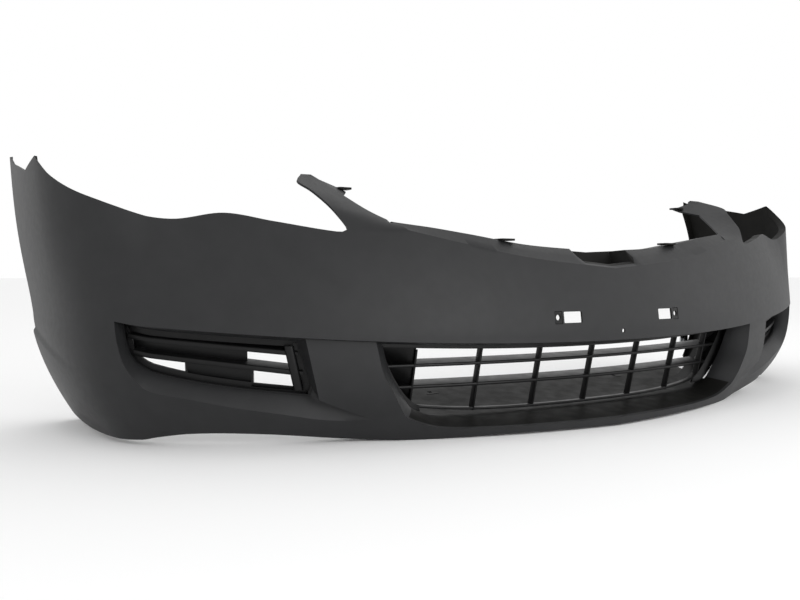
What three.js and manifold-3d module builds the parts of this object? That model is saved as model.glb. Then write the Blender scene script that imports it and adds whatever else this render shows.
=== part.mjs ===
// Front bumper cover of a compact saloon car: one thin moulded skin, a lower grille, two fog-lamp covers,
// their screws, the number-plate nuts and the spring nuts on the wheel-arch flanges.
// Millimetres, +X to the viewer's right, -Y forward, +Z up. The shape is worked out about the centre of the
// number-plate area (the plate datum) and the finished group is moved so that its origin is at floor level
// under the middle of its footprint.
import * as THREE from 'three';
import { mergeVertices } from 'three/addons/utils/BufferGeometryUtils.js';
import Module from 'manifold-3d';

const wasm = await Module();
wasm.setup();

// ---------------------------------------------------------------- driving dimensions
const WALL = 3.2;               // thickness of the moulded skin
const NOSE_RADIUS = 2990;       // twice the plan radius of the nose: y = x * x / NOSE_RADIUS
const CORNER_START = 740;       // half width where the nose turns into the corner
const CORNER_LENGTH = 395;      // length of the corner, measured along it
const HALF_WIDTH = 860;         // half width at the wheel arch, at mid height
const ARCH_DEPTH = 548;         // rearward distance of the wheel arch at mid height
const CREASE_HEIGHT = 104;      // height of the top crease above the plate datum
const CREASE_LEAN = 20;         // how far the face leans back by the time it reaches that crease
const LIP_DROP = 15;            // the lip lies this far below the datum in the middle
const LIP_RISE = 43;            // and rises this much to the tip of the fog-lamp recess
const FOG_TIP = 797;            // station of the outer tip of the fog-lamp recess
const FOG_INNER = 532;          // station of the recess's inboard end
const INTAKE_HALF = 433;        // half width of the lower intake at the lip
const ARM_INNER = 377;          // the bracket arm beside each headlight starts here
const ARM_OUTER = 469;          // and ends here, at the headlight notch
const PEAK = 962;               // station of the headlight's outer corner
const FENDER_NOTCH = 1014;      // station of the notch behind it
const ARCH = 1130;              // station of the wheel-arch edge at mid height
const LEDGE = 9;                // depth of the ledge under the lip
const FUNNEL = 30;              // depth of the walls round the fog-lamp openings
const GAP = 0.35;               // clearance between neighbouring pieces

// ---------------------------------------------------------------- plain helpers
const smoothstep = (a, b, v) => {
  const t = Math.min(Math.max((v - a) / (b - a), 0), 1);
  return t * t * (3 - 2 * t);
};
const mix = (a, b, t) => a + (b - a) * t;

// A smooth curve y(x) through a few points: cubic pieces whose slopes come from the neighbouring points.
const smoothCurve = (points) => (x) => {
  const slope = (j) => {
    const a = points[Math.max(j - 1, 0)];
    const b = points[Math.min(j + 1, points.length - 1)];
    return (b[1] - a[1]) / (b[0] - a[0]);
  };
  let i = 0;
  while (i < points.length - 2 && x > points[i + 1][0]) i += 1;
  const [x0, y0] = points[i];
  const [x1, y1] = points[i + 1];
  const w = x1 - x0;
  const t = Math.min(Math.max((x - x0) / w, 0), 1);
  const bend = t * (1 - t) * ((1 - t) * (slope(i) * w - (y1 - y0)) - t * (slope(i + 1) * w - (y1 - y0)));
  return mix(y0, y1, t) + bend;
};

// Points along a path of [station, height] pairs, with `steps` equal parts in each interval.
const sample = (points, steps) => {
  const out = [];
  for (let i = 0; i < points.length - 1; i += 1) {
    for (let k = 0; k < steps; k += 1) {
      out.push(points[i].map((v, n) => mix(v, points[i + 1][n], k / steps)));
    }
  }
  out.push(points[points.length - 1]);
  return out;
};

// ---------------------------------------------------------------- the outer surface of the skin
// Plan curve: a parabola across the nose, a cubic curve round the corner, then a straight run to the arch.
const noseEnd = new THREE.Vector2(CORNER_START, CORNER_START ** 2 / NOSE_RADIUS);
const noseDirection = new THREE.Vector2(1, 2 * CORNER_START / NOSE_RADIUS).normalize();
const archEnd = new THREE.Vector2(HALF_WIDTH, ARCH_DEPTH);
const archDirection = new THREE.Vector2(0.02, 1).normalize();
const corner = new THREE.CubicBezierCurve(
  noseEnd,
  noseEnd.clone().addScaledVector(noseDirection, 105),
  archEnd.clone().addScaledVector(archDirection, -250),
  archEnd,
);

const planCurve = (station) => {
  if (station < CORNER_START) {
    const point = new THREE.Vector2(station, station ** 2 / NOSE_RADIUS);
    return { point, along: new THREE.Vector2(1, 2 * station / NOSE_RADIUS).normalize() };
  }
  const t = (station - CORNER_START) / CORNER_LENGTH;
  const point = corner.getPoint(Math.min(t, 1));
  if (t > 1) point.addScaledVector(archDirection, station - CORNER_START - CORNER_LENGTH);
  return { point, along: corner.getTangent(Math.min(t, 1)) };
};

const lipHeight = (s) => -LIP_DROP + LIP_RISE * (Math.min(s, FOG_TIP) / FOG_TIP) ** 2.2;
const bottomHeight = smoothCurve([
  [0, -158], [200, -157], [377, -160], [460, -156], [590, -143], [690, -142], [780, -152], [1135, -150],
]);
const bottomInset = smoothCurve([
  [0, 6], [200, 19], [380, 40], [460, 50], [590, 46], [690, 55], [780, 62], [900, 62], [1135, 66],
]);
const bulge = smoothCurve([[0, 2], [460, 2], [750, 2.4], [900, 2.2], [1135, 1.6]]);
const ledgeDepth = (s) => LEDGE * (1 - smoothstep(560, 790, s));

// Distance from the plan curve in to the surface. Above the lip the nose leans back and the sides flare out
// towards the wing; below it the surface tucks in towards the bottom edge.
const inset = (s, z, behindLip = false) => {
  const lip = lipHeight(s);
  const upper = Math.max(z, lip);
  const side = smoothstep(640, 990, s);
  const lean = CREASE_LEAN * (Math.max(upper, 0) / CREASE_HEIGHT) ** 1.5;
  const flare = -17 * Math.tanh((upper - 96) / 110);
  const below = Math.max(lip - z, 0);
  const tuck = bottomInset(s) * (below / (lip - bottomHeight(s))) ** bulge(s);
  const ledge = below > 0 || behindLip ? ledgeDepth(s) * (1 - smoothstep(0, 100, below)) : 0;
  return mix(lean, flare, side) + tuck + ledge;
};

// The wheel-arch edge runs back as it rises, so the outer stations stretch with it.
const archStation = smoothCurve([
  [-160, 1122], [-40, 1124], [40, 1127], [125, 1141], [208, 1163], [302, 1200],
]);
const stretch = (s, z) => s + (archStation(z) - ARCH) * Math.max((s - FOG_TIP) / (ARCH - FOG_TIP), 0);

// A point of the skin at a station and height, `depth` behind the outer surface.
const facePoint = (station, z, depth = 0, behindLip = false) => {
  const s = stretch(station, z);
  const { point, along } = planCurve(s);
  const d = inset(s, z, behindLip) + depth;
  return new THREE.Vector3(point.x - along.y * d, point.y + along.x * d, z);
};
// The same behind the recesses, where the lower surface carries on up past the lip.
const backPoint = (station, z, depth) => facePoint(station, z, depth, true);

// ---------------------------------------------------------------- sheets of triangles and solids
class Sheet {
  constructor() {
    this.points = [];
    this.faces = [];
    this.index = new Map();
  }

  vertex(p) {
    const key = [p.x, p.y, p.z].map((v) => Math.round(v * 100)).join();
    if (!this.index.has(key)) {
      this.index.set(key, this.points.length);
      this.points.push(p.clone());
    }
    return this.index.get(key);
  }

  triangle(a, b, c) {
    const face = [this.vertex(a), this.vertex(b), this.vertex(c)];
    if (new Set(face).size === 3) this.faces.push(face);
  }

  // Rows of points joined into a sheet, outer side towards the viewer when a row runs to the right and the
  // next row is above it.
  grid(rows) {
    for (let i = 0; i < rows.length - 1; i += 1) {
      for (let j = 0; j < rows[i].length - 1; j += 1) {
        const [a, b, c, d] = [rows[i][j], rows[i][j + 1], rows[i + 1][j + 1], rows[i + 1][j]];
        if (a.distanceTo(c) <= b.distanceTo(d)) {
          this.triangle(a, b, c);
          this.triangle(a, c, d);
        } else {
          this.triangle(a, b, d);
          this.triangle(b, c, d);
        }
      }
    }
  }

  // The same sheet on the other side of the car, joined to this one along the centre line.
  mirrored() {
    const flip = (i) => new THREE.Vector3(-this.points[i].x, this.points[i].y, this.points[i].z);
    const halves = this.faces.slice();
    halves.forEach(([a, b, c]) => this.triangle(flip(a), flip(c), flip(b)));
    return this;
  }

  // A closed solid: the sheet, a copy of it `wall` behind, and a narrow strip round every free edge.
  thickened(wall) {
    const normals = this.points.map(() => new THREE.Vector3());
    const edges = new Map();
    this.faces.forEach(([a, b, c]) => {
      const [pa, pb, pc] = [this.points[a], this.points[b], this.points[c]];
      const normal = pb.clone().sub(pa).cross(pc.clone().sub(pa)).normalize();
      [[a, pb, pc, pa], [b, pc, pa, pb], [c, pa, pb, pc]].forEach(([i, q, r, p]) => {
        normals[i].addScaledVector(normal, q.clone().sub(p).angleTo(r.clone().sub(p)));
      });
      [[a, b], [b, c], [c, a]].forEach(([i, j]) => edges.set(`${i},${j}`, [i, j]));
    });
    const count = this.points.length;
    const inner = this.points.map((p, i) => p.clone().addScaledVector(normals[i].normalize(), -wall));
    const faces = [...this.faces, ...this.faces.map(([a, b, c]) => [a + count, c + count, b + count])];
    edges.forEach(([i, j]) => {
      if (edges.has(`${j},${i}`)) return;
      faces.push([i, i + count, j + count], [i, j + count, j]);
    });
    return solidOf([...this.points, ...inner], faces);
  }

  closed() {
    return solidOf(this.points, this.faces);
  }
}

function solidOf(points, faces) {
  return new wasm.Manifold(new wasm.Mesh({
    numProp: 3,
    vertProperties: Float32Array.from(points.flatMap((p) => [p.x, p.y, p.z])),
    triVerts: Uint32Array.from(faces.flat()),
  }));
}

function solidOfGeometry(geometry) {
  const bare = geometry.index ? geometry.clone() : geometry;
  bare.deleteAttribute('normal');
  bare.deleteAttribute('uv');
  const merged = mergeVertices(bare, 1e-4);
  return new wasm.Manifold(new wasm.Mesh({
    numProp: 3,
    vertProperties: Float32Array.from(merged.attributes.position.array),
    triVerts: Uint32Array.from(merged.index.array),
  }));
}

const geometryOf = (solid) => {
  const mesh = solid.getMesh();
  const geometry = new THREE.BufferGeometry();
  geometry.setAttribute('position', new THREE.BufferAttribute(Float32Array.from(mesh.vertProperties), 3));
  geometry.setIndex(new THREE.BufferAttribute(Uint32Array.from(mesh.triVerts), 1));
  return geometry;
};

const block = (x, y, z, cx, cy, cz) => solidOfGeometry(new THREE.BoxGeometry(x, y, z).translate(cx, cy, cz));

// A round bar between two points, used for holes and shanks.
const bar = (radius, from, to, sides = 12) => {
  const length = from.distanceTo(to);
  const turn = new THREE.Quaternion().setFromUnitVectors(
    new THREE.Vector3(0, 1, 0),
    to.clone().sub(from).normalize(),
  );
  const geometry = new THREE.CylinderGeometry(radius, radius, length, sides).applyQuaternion(turn);
  return solidOfGeometry(geometry.translate(...from.clone().add(to).multiplyScalar(0.5).toArray()));
};

const rows = (from, to, count, make) => Array.from(
  { length: count + 1 },
  (_, i) => make(mix(from, to, i / count)),
);

const mirrorX = (solid) => solid.mirror([1, 0, 0]);

// A solid swept through stations: `ring(v)` gives the four corners of its section, anticlockwise as seen
// looking back along the sweep.
const sweep = (from, to, parts, ring) => {
  const sheet = new Sheet();
  const sections = rows(from, to, parts, ring);
  sheet.grid(sections.map((section) => [...section, section[0]]));
  const [first, last] = [sections[0], sections[sections.length - 1]];
  sheet.grid([[first[0], first[3]], [first[1], first[2]]]);
  sheet.grid([[last[3], last[0]], [last[2], last[1]]]);
  return sheet.closed();
};

// A block that follows the skin between two stations, two heights given as functions, and two depths.
const surfaceBlock = (s0, s1, parts, low, high, near, far) => sweep(s0, s1, parts, (s) => [
  backPoint(s, low(s), near), backPoint(s, low(s), far),
  backPoint(s, high(s), far), backPoint(s, high(s), near),
]);

const union = (solids) => solids.reduce((whole, solid) => whole.add(solid));

// ---------------------------------------------------------------- outlines of the skin
const intakeStations = [0, 58, 66, 125, 190, 255, 316, ARM_INNER, 405, INTAKE_HALF];
const pillarStations = [INTAKE_HALF, ARM_OUTER, 500, FOG_INNER];
const fogStations = [FOG_INNER, 573, 643, 709, 755, FOG_TIP];
const sideStations = [FOG_TIP, 868, 930, PEAK, FENDER_NOTCH, 1080, ARCH];
const allStations = [
  ...intakeStations, ...pillarStations.slice(1), ...fogStations.slice(1), ...sideStations.slice(1),
];

const creaseHeight = smoothCurve([[0, CREASE_HEIGHT], [171, 120], [290, 142], [ARM_INNER, 161]]);
const headlightEdge = smoothCurve([
  [ARM_OUTER, 161], [480, 157], [573, 172], [643, 184], [709, 174], [769, 183], [859, 206], [898, 221],
  [933, 242], [PEAK, 269],
]);
const wingEdge = smoothCurve([[FENDER_NOTCH, 254], [1080, 280], [ARCH, 302]]);
const topHeight = (s) => {
  if (s <= ARM_INNER) return creaseHeight(s);
  if (s <= ARM_OUTER) return creaseHeight(ARM_INNER);
  if (s <= PEAK) return headlightEdge(s);
  if (s <= FENDER_NOTCH) {
    return mix(headlightEdge(PEAK), wingEdge(FENDER_NOTCH), (s - PEAK) / (FENDER_NOTCH - PEAK));
  }
  return wingEdge(s);
};

const ledgeHeight = (s) => lipHeight(s) - 2 * (1 - smoothstep(700, FOG_TIP, s));
// The ridge below the fog-lamp recess, from its outer tip to its inboard end, as [station, height].
const fogRidge = [
  [FOG_TIP, lipHeight(FOG_TIP)], [792, -2], [781, -32], [762, -54], [735, -73], [683, -86], [623, -100],
  [562, -111], [505, -121], [513, -90], [FOG_INNER, ledgeHeight(FOG_INNER)],
];
// Where each of those points meets the bottom edge.
const ridgeFoot = [797, 791, 783, 766, 735, 683, 623, 562, 505, 485, 470];
const pillarFoot = [470, 459, 448, 437];
const intakeBorder = [
  [INTAKE_HALF, ledgeHeight(INTAKE_HALF)], [422, -54], [408, -78], [392, -110], [377, -126], [330, -141],
  [261, -145], [169, -146], [66, -146], [58, -146], [0, -146],
];
const intakeFoot = [437, 424, 410, 394, 377, 330, 261, 169, 66, 58, 0];

// ---------------------------------------------------------------- the bumper skin
const skin = new Sheet();

// Upper face, from the lip to the crease, the arms' feet and the headlight edge.
const JUST_ABOVE = 1e-6;        // the surface steps in at the lip, so the face starts this much above it
const upperRows = rows(0, 1, 5, (v) => allStations.map(
  (s) => facePoint(s, mix(lipHeight(s) + JUST_ABOVE, topHeight(s), v)),
));
skin.grid(upperRows);

// Ledge under the lip: it turns the edge in, and everything below hangs from its inner line.
const ledgeStations = allStations.filter((s) => s <= FOG_TIP);
const lipLine = ledgeStations.map((s) => facePoint(s, lipHeight(s) + JUST_ABOVE));
const ledgeLine = ledgeStations.map((s) => facePoint(s, ledgeHeight(s)));
ledgeLine[ledgeLine.length - 1] = lipLine[lipLine.length - 1];
skin.grid([ledgeLine, lipLine]);

// Lower body: a band from the lip, the recess ridge, the pillar and the intake's border down to the bottom.
const pointOnLedge = (s) => ledgeLine[ledgeStations.indexOf(s)];
const bandTop = [
  ...intakeBorder.slice(1).reverse(),
  ...pillarStations.map((s) => [s, ledgeHeight(s)]),
  ...fogRidge.slice(0, -1).reverse(),
  ...sideStations.slice(1).map((s) => [s, lipHeight(s)]),
];
const bandFoot = [
  ...intakeFoot.slice(1).reverse(), ...[...pillarFoot].reverse(), ...ridgeFoot.slice(0, -1).reverse(),
  ...sideStations.slice(1),
];
const BAND_ROWS = 4;
const band = rows(0, 1, BAND_ROWS, (v) => bandTop.map(([s, z], i) => {
  const foot = bandFoot[i];
  if (v === 1 && ledgeStations.includes(s) && Math.abs(z - ledgeHeight(s)) < 1e-9) return pointOnLedge(s);
  if (v === 1 && s >= FOG_TIP) return facePoint(s, lipHeight(s) + JUST_ABOVE);
  return facePoint(mix(foot, s, v), mix(bottomHeight(foot), z, v));
}));
skin.grid(band);

// Bottom flange: the lower edge turns in all round.
const FLANGE = 24;
const flangeRow = (line, width, rise) => line.map((p, i) => {
  const before = line[Math.max(i - 1, 0)];
  const after = line[Math.min(i + 1, line.length - 1)];
  const along = after.clone().sub(before).setZ(0).normalize();
  const inward = i === 0 ? new THREE.Vector3(0, 1, 0) : new THREE.Vector3(-along.y, along.x, 0);
  return p.clone().addScaledVector(inward, width(i)).setZ(p.z + rise(i));
});
const bottomLine = band[0];
const lastBottom = bottomLine.length - 1;
const FLANGE_RISE = 4;
const bottomFlange = flangeRow(
  bottomLine,
  (i) => (i === lastBottom ? 0 : FLANGE),
  (i) => (i === lastBottom ? 0 : FLANGE_RISE),
);
skin.grid([bottomFlange, bottomLine]);

// Walls of the fog-lamp recess: from the border in to a rim, and a screwing flange round the rim.
const rimTop = (s) => [mix(543, 798, (s - FOG_INNER) / (FOG_TIP - FOG_INNER)), ledgeHeight(s) - 5];
const fogRimLower = [
  rimTop(FOG_TIP), [790, -9], [776, -27], [757, -38], [728, -49], [683, -61], [623, -72], [570, -79],
  [527, -84], [524, -70], rimTop(FOG_INNER),
];
const topStations = fogStations.slice(1, -1);
const fogLoop = [
  ...fogRidge.slice(0, -1).map(([s, z]) => (s === FOG_TIP ? lipLine[lipLine.length - 1] : facePoint(s, z))),
  pointOnLedge(FOG_INNER),
  ...topStations.map(pointOnLedge),
];
const fogRim = [...fogRimLower, ...topStations.map(rimTop)];
const fogRimPoints = fogRim.map(([s, z]) => backPoint(s, z, FUNNEL));
const rimCentre = new THREE.Vector2(660, -30);
const fogFlange = fogRim.map(([s, z]) => {
  const out = new THREE.Vector2(s, z).sub(rimCentre).multiply(new THREE.Vector2(0.25, 1)).normalize();
  return backPoint(s + out.x * 12, z + out.y * 12, FUNNEL + 1);
});
const ringUp = (list) => [...list, list[0]];
skin.grid([ringUp(fogFlange), ringUp(fogRimPoints), ringUp(fogLoop)]);

// Walls of the lower intake. At the bottom the wall carries on rearward as a wide shelf.
const intakeRimPoint = (x, z) => new THREE.Vector3(x, 60 + x * x / 3600 + 0.2 * (-20 - z), z);
const intakeTopStations = intakeStations.slice(0, -1);
const INTAKE_RIM_HALF = 404;    // half width of the intake's rim, behind the lip
const RIM_DROP = 8;             // and how far the rim's top lies below the lip
const intakeRimTop = [...intakeTopStations, INTAKE_HALF].map(
  (s) => intakeRimPoint(s * INTAKE_RIM_HALF / INTAKE_HALF, lipHeight(s) - RIM_DROP),
);
const intakeRimSide = [[391, -50], [380, -72], [360, -101], [345, -117]]
  .map(([x, z]) => intakeRimPoint(x, z));
const shelfFront = [[308, -131], [250, -135], [165, -136], [66, -136], [58, -136], [0, -136]]
  .map(([x, z]) => intakeRimPoint(x, z));
const intakeTopEdge = [...intakeTopStations, INTAKE_HALF].map(pointOnLedge);
const intakeSideEdge = intakeBorder.slice(1, 5).map(([s, z]) => facePoint(s, z));
const intakeFloorEdge = intakeBorder.slice(5).map(([s, z]) => facePoint(s, z));
const intakeEdge = [...intakeTopEdge, ...intakeSideEdge, ...intakeFloorEdge];
const intakeRim = [...intakeRimTop, ...intakeRimSide, ...shelfFront];
skin.grid([intakeRim, intakeEdge]);
const upperFlange = intakeRimTop.map((p) => p.clone().add(new THREE.Vector3(0, 1.5, 13)));
const sideFlange = intakeRimSide.map((p, i) => p.clone().add(new THREE.Vector3(12 - i * 3, 3, -i * 2.5)));
upperFlange[upperFlange.length - 1].x += 9;
sideFlange[sideFlange.length - 1] = intakeRimSide[intakeRimSide.length - 1];
skin.grid([[...upperFlange, ...sideFlange], [...intakeRimTop, ...intakeRimSide]]);

const SHELF_BACK = 300;
const SHELF_SPREAD = 1.36;      // the shelf widens rearward by this factor
const SHELF_END_HEIGHT = -115;
const shelfLine = [intakeRimSide[intakeRimSide.length - 1], ...shelfFront];
const shelfRows = rows(0, 1, 4, (v) => shelfLine.map((p) => new THREE.Vector3(
  p.x * mix(1, SHELF_SPREAD, v),
  mix(p.y, SHELF_BACK, v),
  mix(p.z, SHELF_END_HEIGHT, smoothstep(0, 1, v)),
)));
skin.grid([...shelfRows].reverse());

// Top of the nose: a chamfer, then a ledge that runs back, with a shallow pocket in the middle.
const chamferStations = intakeStations.filter((s) => s <= ARM_INNER);
const armInner = [[0, 0, 0], [392, 122, 175], [404, 148, 194], [424, 193, 220], [446, 240, 249], [458, 246, 257]];
const armOuter = [[0, 0, 0], [470, 128, 188], [478, 147, 205], [490, 172, 224], [502, 196, 239], [478, 240, 256]];
const chamferEdge = smoothCurve([[0, 134], [150, 142], [264, 158], [ARM_INNER, armInner[1][2]]]);
const chamferRun = smoothCurve([[0, 40], [150, 38], [264, 30], [ARM_INNER, 27]]);
const topLedge = chamferStations.map((s) => {
  const crease = facePoint(s, creaseHeight(s));
  const pocket = s < 60 ? 1 : 0;
  const sideways = s === ARM_INNER ? armInner[1][0] - ARM_INNER : 0;
  const edge = crease.clone().add(new THREE.Vector3(sideways, chamferRun(s), 0)).setZ(chamferEdge(s));
  const width = mix(42, 9, smoothstep(200, ARM_INNER, s));
  const ledge = (v, drop) => edge.clone().add(new THREE.Vector3(0, width * v, -drop * v));
  if (!pocket) return [crease, edge, ledge(0.35, 2), ledge(0.75, 2), ledge(1, 2)];
  return [
    crease,
    crease.clone().add(new THREE.Vector3(0, 18, 7)),
    crease.clone().add(new THREE.Vector3(0, 62, 3)),
    ledge(0.75, 2),
    ledge(1, 2),
  ];
});
const columns = (table) => table[0].map((_, i) => table.map((row) => row[i]));
const topRows = columns(topLedge);
skin.grid(topRows);

// Bracket arm beside the headlight, with a hooked tab at its inner top corner.
const between = (from, to) => upperRows[upperRows.length - 1].filter(
  (_, i) => allStations[i] >= from && allStations[i] <= to,
);
const armFoot = between(ARM_INNER, ARM_OUTER);
const armRows = armInner.map(([x, y, z], i) => {
  if (i === 0) return armFoot;
  const inner = i === 1 ? topRows[1][topRows[1].length - 1] : new THREE.Vector3(x, y, z);
  const outer = new THREE.Vector3(...armOuter[i]);
  return armFoot.map((_, k) => inner.clone().lerp(outer, k / (armFoot.length - 1)));
});
skin.grid(armRows);
const armEdge = armRows.slice(3, 5).map((row) => row[0]);
const tab = [new THREE.Vector3(403, 228, 230), new THREE.Vector3(403, 245, 236)];
skin.grid(columns([tab, armEdge]));

// Return flanges: behind the headlight edge, behind the wing edge and round the wheel arch.
const HEADLIGHT_FLANGE = 15;
const ARCH_FLANGE = 18;
const headlightLine = between(ARM_OUTER, PEAK);
const headlightBack = headlightLine.map((p, i) => {
  const width = i === 0 || i === headlightLine.length - 1 ? 0 : HEADLIGHT_FLANGE;
  return p.clone().add(new THREE.Vector3(-width * 0.35, width, -width * 0.15));
});
skin.grid([headlightLine, headlightBack]);
const archColumn = [
  ...band.map((row) => row[row.length - 1]).slice(0, -1),
  ...upperRows.map((row) => row[row.length - 1]),
];
const archBack = archColumn.map((p, i) => {
  const width = i === 0 || i === archColumn.length - 1 ? 0 : ARCH_FLANGE;
  return p.clone().add(new THREE.Vector3(-width, width * 0.12, 0));
});
skin.grid(columns([archColumn, archBack]));

let skinSolid = skin.mirrored().thickened(WALL);

// Number-plate holes: a square one that takes a plastic nut, and a slot beside it. A locating hole is midway.
const V = (x, y, z) => new THREE.Vector3(x, y, z);
const drilled = (solid, radius, from, to) => solid.subtract(bar(radius, from, to));
const PLATE_HOLE_X = 135;
const PLATE_SLOT_X = 106.5;
const PLATE_HEIGHT = 25;
const PLATE_SLOT = [36, 18];
const PLATE_NUT = [14, 20];
const THROUGH = 60;
[-1, 1].forEach((side) => {
  const [slotWide, slotHigh] = PLATE_SLOT;
  const [nutWide, nutHigh] = PLATE_NUT.map((v) => v + 2 * GAP);
  skinSolid = skinSolid
    .subtract(block(slotWide, THROUGH, slotHigh, side * PLATE_SLOT_X, 10, PLATE_HEIGHT))
    .subtract(block(nutWide, THROUGH, nutHigh, side * PLATE_HOLE_X, 10, PLATE_HEIGHT));
});
skinSolid = drilled(skinSolid, 2.5, V(0, -20, 0), V(0, 40, 0));

// Flat ears and pads where the skin is fastened, each with its hole.
const ARCH_EARS = [-90, 20];
const EAR = 28;
const EAR_SEAT = { wide: 7, high: 24, proud: 1, x: 9.5 };  // raised strip that the wheel-arch liner lies on
const NUT_INSET = 6.3;          // the nut sits this far inward of the ear's centre, its hole 1 mm less
const EAR_HOLE = 3.4;
const earAt = (z) => {
  const edge = facePoint(ARCH, z);
  return V(edge.x - 30, edge.y + 2, z);
};
const CLIP_PADS = [
  { size: [28, 24, WALL], at: [190, 78, 150], hole: 4, holeX: 190 },   // top ledge
  { size: [24, 22, WALL], at: [404, 237, 236], hole: 3.4, holeX: 400 },   // arm tab
  { size: [26, 26, 9], at: [228, 246, -124], hole: 4.5, holeX: 228 },   // shelf, inner
  { size: [26, 26, 9], at: [400, 262, -124], hole: 4.5, holeX: 400 },   // shelf, outer
];
[-1, 1].forEach((side) => {
  ARCH_EARS.forEach((z) => {
    const at = earAt(z);
    const { wide, high, proud, x } = EAR_SEAT;
    const holeX = side * (at.x - NUT_INSET + 1);
    skinSolid = skinSolid
      .add(block(EAR, WALL, EAR, side * at.x, at.y, z))
      .add(block(wide, WALL, high, side * (at.x + x), at.y + proud, z));
    skinSolid = drilled(skinSolid, EAR_HOLE, V(holeX, at.y - 9, z), V(holeX, at.y + 9, z));
  });
  CLIP_PADS.forEach(({ size, at: [x, y, z], hole, holeX }) => {
    skinSolid = skinSolid.add(block(...size, side * x, y, z));
    skinSolid = drilled(skinSolid, hole, V(side * holeX, y, z - 30), V(side * holeX, y, z + 30));
  });
});

// ---------------------------------------------------------------- lower grille
// Five upright bars and two deep slats in a frame whose ends are closed pockets. A flange along its top
// stands behind the skin's own flange and takes the screws.
const BAR_PITCH = 114.5;
const CELL_END = 340;
const SLAT_DEPTH = 42;
const grilleFront = (x, z) => 66 + x * x / 3010 + 0.24 * (-24 - z);
const rimHeight = (x) => lipHeight(Math.abs(x) * INTAKE_HALF / INTAKE_RIM_HALF) - RIM_DROP;
const rimFront = (x) => intakeRimPoint(x, rimHeight(x)).y;
const grilleHalf = smoothCurve([[-120, 325], [-101, 350], [-72, 372], [-50, 385], [-24, 397]]);
const railHeight = (x) => -130 + 12 * (x / 325) ** 4;
const GRILLE_TOP = -24;

const upright = (x, thick, depth, bottom) => sweep(bottom, GRILLE_TOP, 4, (z) => {
  const y = grilleFront(x, z);
  const [left, right] = [x - thick / 2, x + thick / 2];
  return [V(left, y, z), V(right, y, z), V(right, y + depth, z), V(left, y + depth, z)];
});
const slat = (height) => {
  const half = grilleHalf(height) - 1;
  return sweep(-half, half, 20, (x) => {
    const y = grilleFront(x, height);
    return [
      V(x, y, height - 1.5), V(x, y + SLAT_DEPTH, height + 3.5),
      V(x, y + SLAT_DEPTH, height + 6), V(x, y, height + 1.5),
    ];
  });
};
const lengthwise = (half, parts, front, depth, low, high) => sweep(-half, half, parts, (x) => [
  V(x, front(x), low(x)), V(x, front(x) + depth, low(x)),
  V(x, front(x) + depth, high(x)), V(x, front(x), high(x)),
]);
const sideWall = (inner, near, far) => sweep(-118, GRILLE_TOP, 6, (z) => {
  const outer = grilleHalf(z);
  const y = grilleFront(outer, z);
  return [V(inner(z), y + near, z), V(outer, y + near, z), V(outer, y + far, z), V(inner(z), y + far, z)];
});
const pocketBack = sideWall((z) => Math.min(CELL_END - 1, grilleHalf(z) - 4), SLAT_DEPTH - 3, SLAT_DEPTH);
const pocketEnd = sideWall((z) => grilleHalf(z) - 3, 0, SLAT_DEPTH);
// A strip behind the skin's side flange closes the slit beside the pocket.
const sideFlap = sweep(-108, GRILLE_TOP, 6, (z) => {
  const inner = grilleHalf(z) - 3;
  const outer = grilleHalf(z) + 15;
  const near = grilleFront(inner, z) + 0.5;
  const far = intakeRimPoint(outer, z).y + 7.4;
  return [V(inner, near, z), V(outer, far, z), V(outer, far + 2.6, z), V(inner, near + 3, z)];
});
const topRail = lengthwise(
  396, 20, (x) => grilleFront(x, GRILLE_TOP), 13, (x) => rimHeight(x) - 6, (x) => rimHeight(x) - 2.5,
);
const topFlange = lengthwise(
  380, 20, (x) => rimFront(x) + 6.6, 2.6, (x) => rimHeight(x) - 6, (x) => rimHeight(x) + 12,
);
const bottomRail = lengthwise(
  324, 16, (x) => grilleFront(x, -128), 10, (x) => railHeight(x) - 2, (x) => railHeight(x) + 2,
);
let grille = union([
  ...[-2, -1, 0, 1, 2].map((n) => upright(n * BAR_PITCH, 3, 10, -130)),
  ...[-1, 1].map((side) => upright(side * CELL_END, 3, SLAT_DEPTH, -110)),
  slat(-50), slat(-85), topRail, topFlange, bottomRail,
  pocketBack, mirrorX(pocketBack), pocketEnd, mirrorX(pocketEnd), sideFlap, mirrorX(sideFlap),
]);

// ---------------------------------------------------------------- screws
// A flanged pan-head screw on the Y axis, its head towards +Y, the underside of the head at y = 0.
const SHANK = 2.1;
const HEAD = 5.5;
const SCREW_LENGTH = 13;
const screwProfile = [
  [0, -SCREW_LENGTH], [0.6, -SCREW_LENGTH], [SHANK, 3 - SCREW_LENGTH], [SHANK, 0],
  [HEAD, 0], [HEAD, 1], [4.2, 1.4], [3.8, 3.2], [0, 3.6],
].map(([r, y]) => new THREE.Vector2(r, y));
const screwGeometry = () => new THREE.LatheGeometry(screwProfile, 8);

const grilleScrews = [];
[-330, -200, -70, 70, 200, 330].forEach((x) => {
  const z = rimHeight(x) + 6.5;
  const seat = V(x, rimFront(Math.abs(x) + HEAD) + 9.2 + GAP, z);
  const tip = V(x, seat.y - SCREW_LENGTH - 1, z);
  grille = drilled(grille, SHANK + GAP, seat, tip);
  skinSolid = drilled(skinSolid, SHANK + GAP, V(x, seat.y + 6, z), V(x, tip.y - 4, z));
  grilleScrews.push(seat);
});

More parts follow.
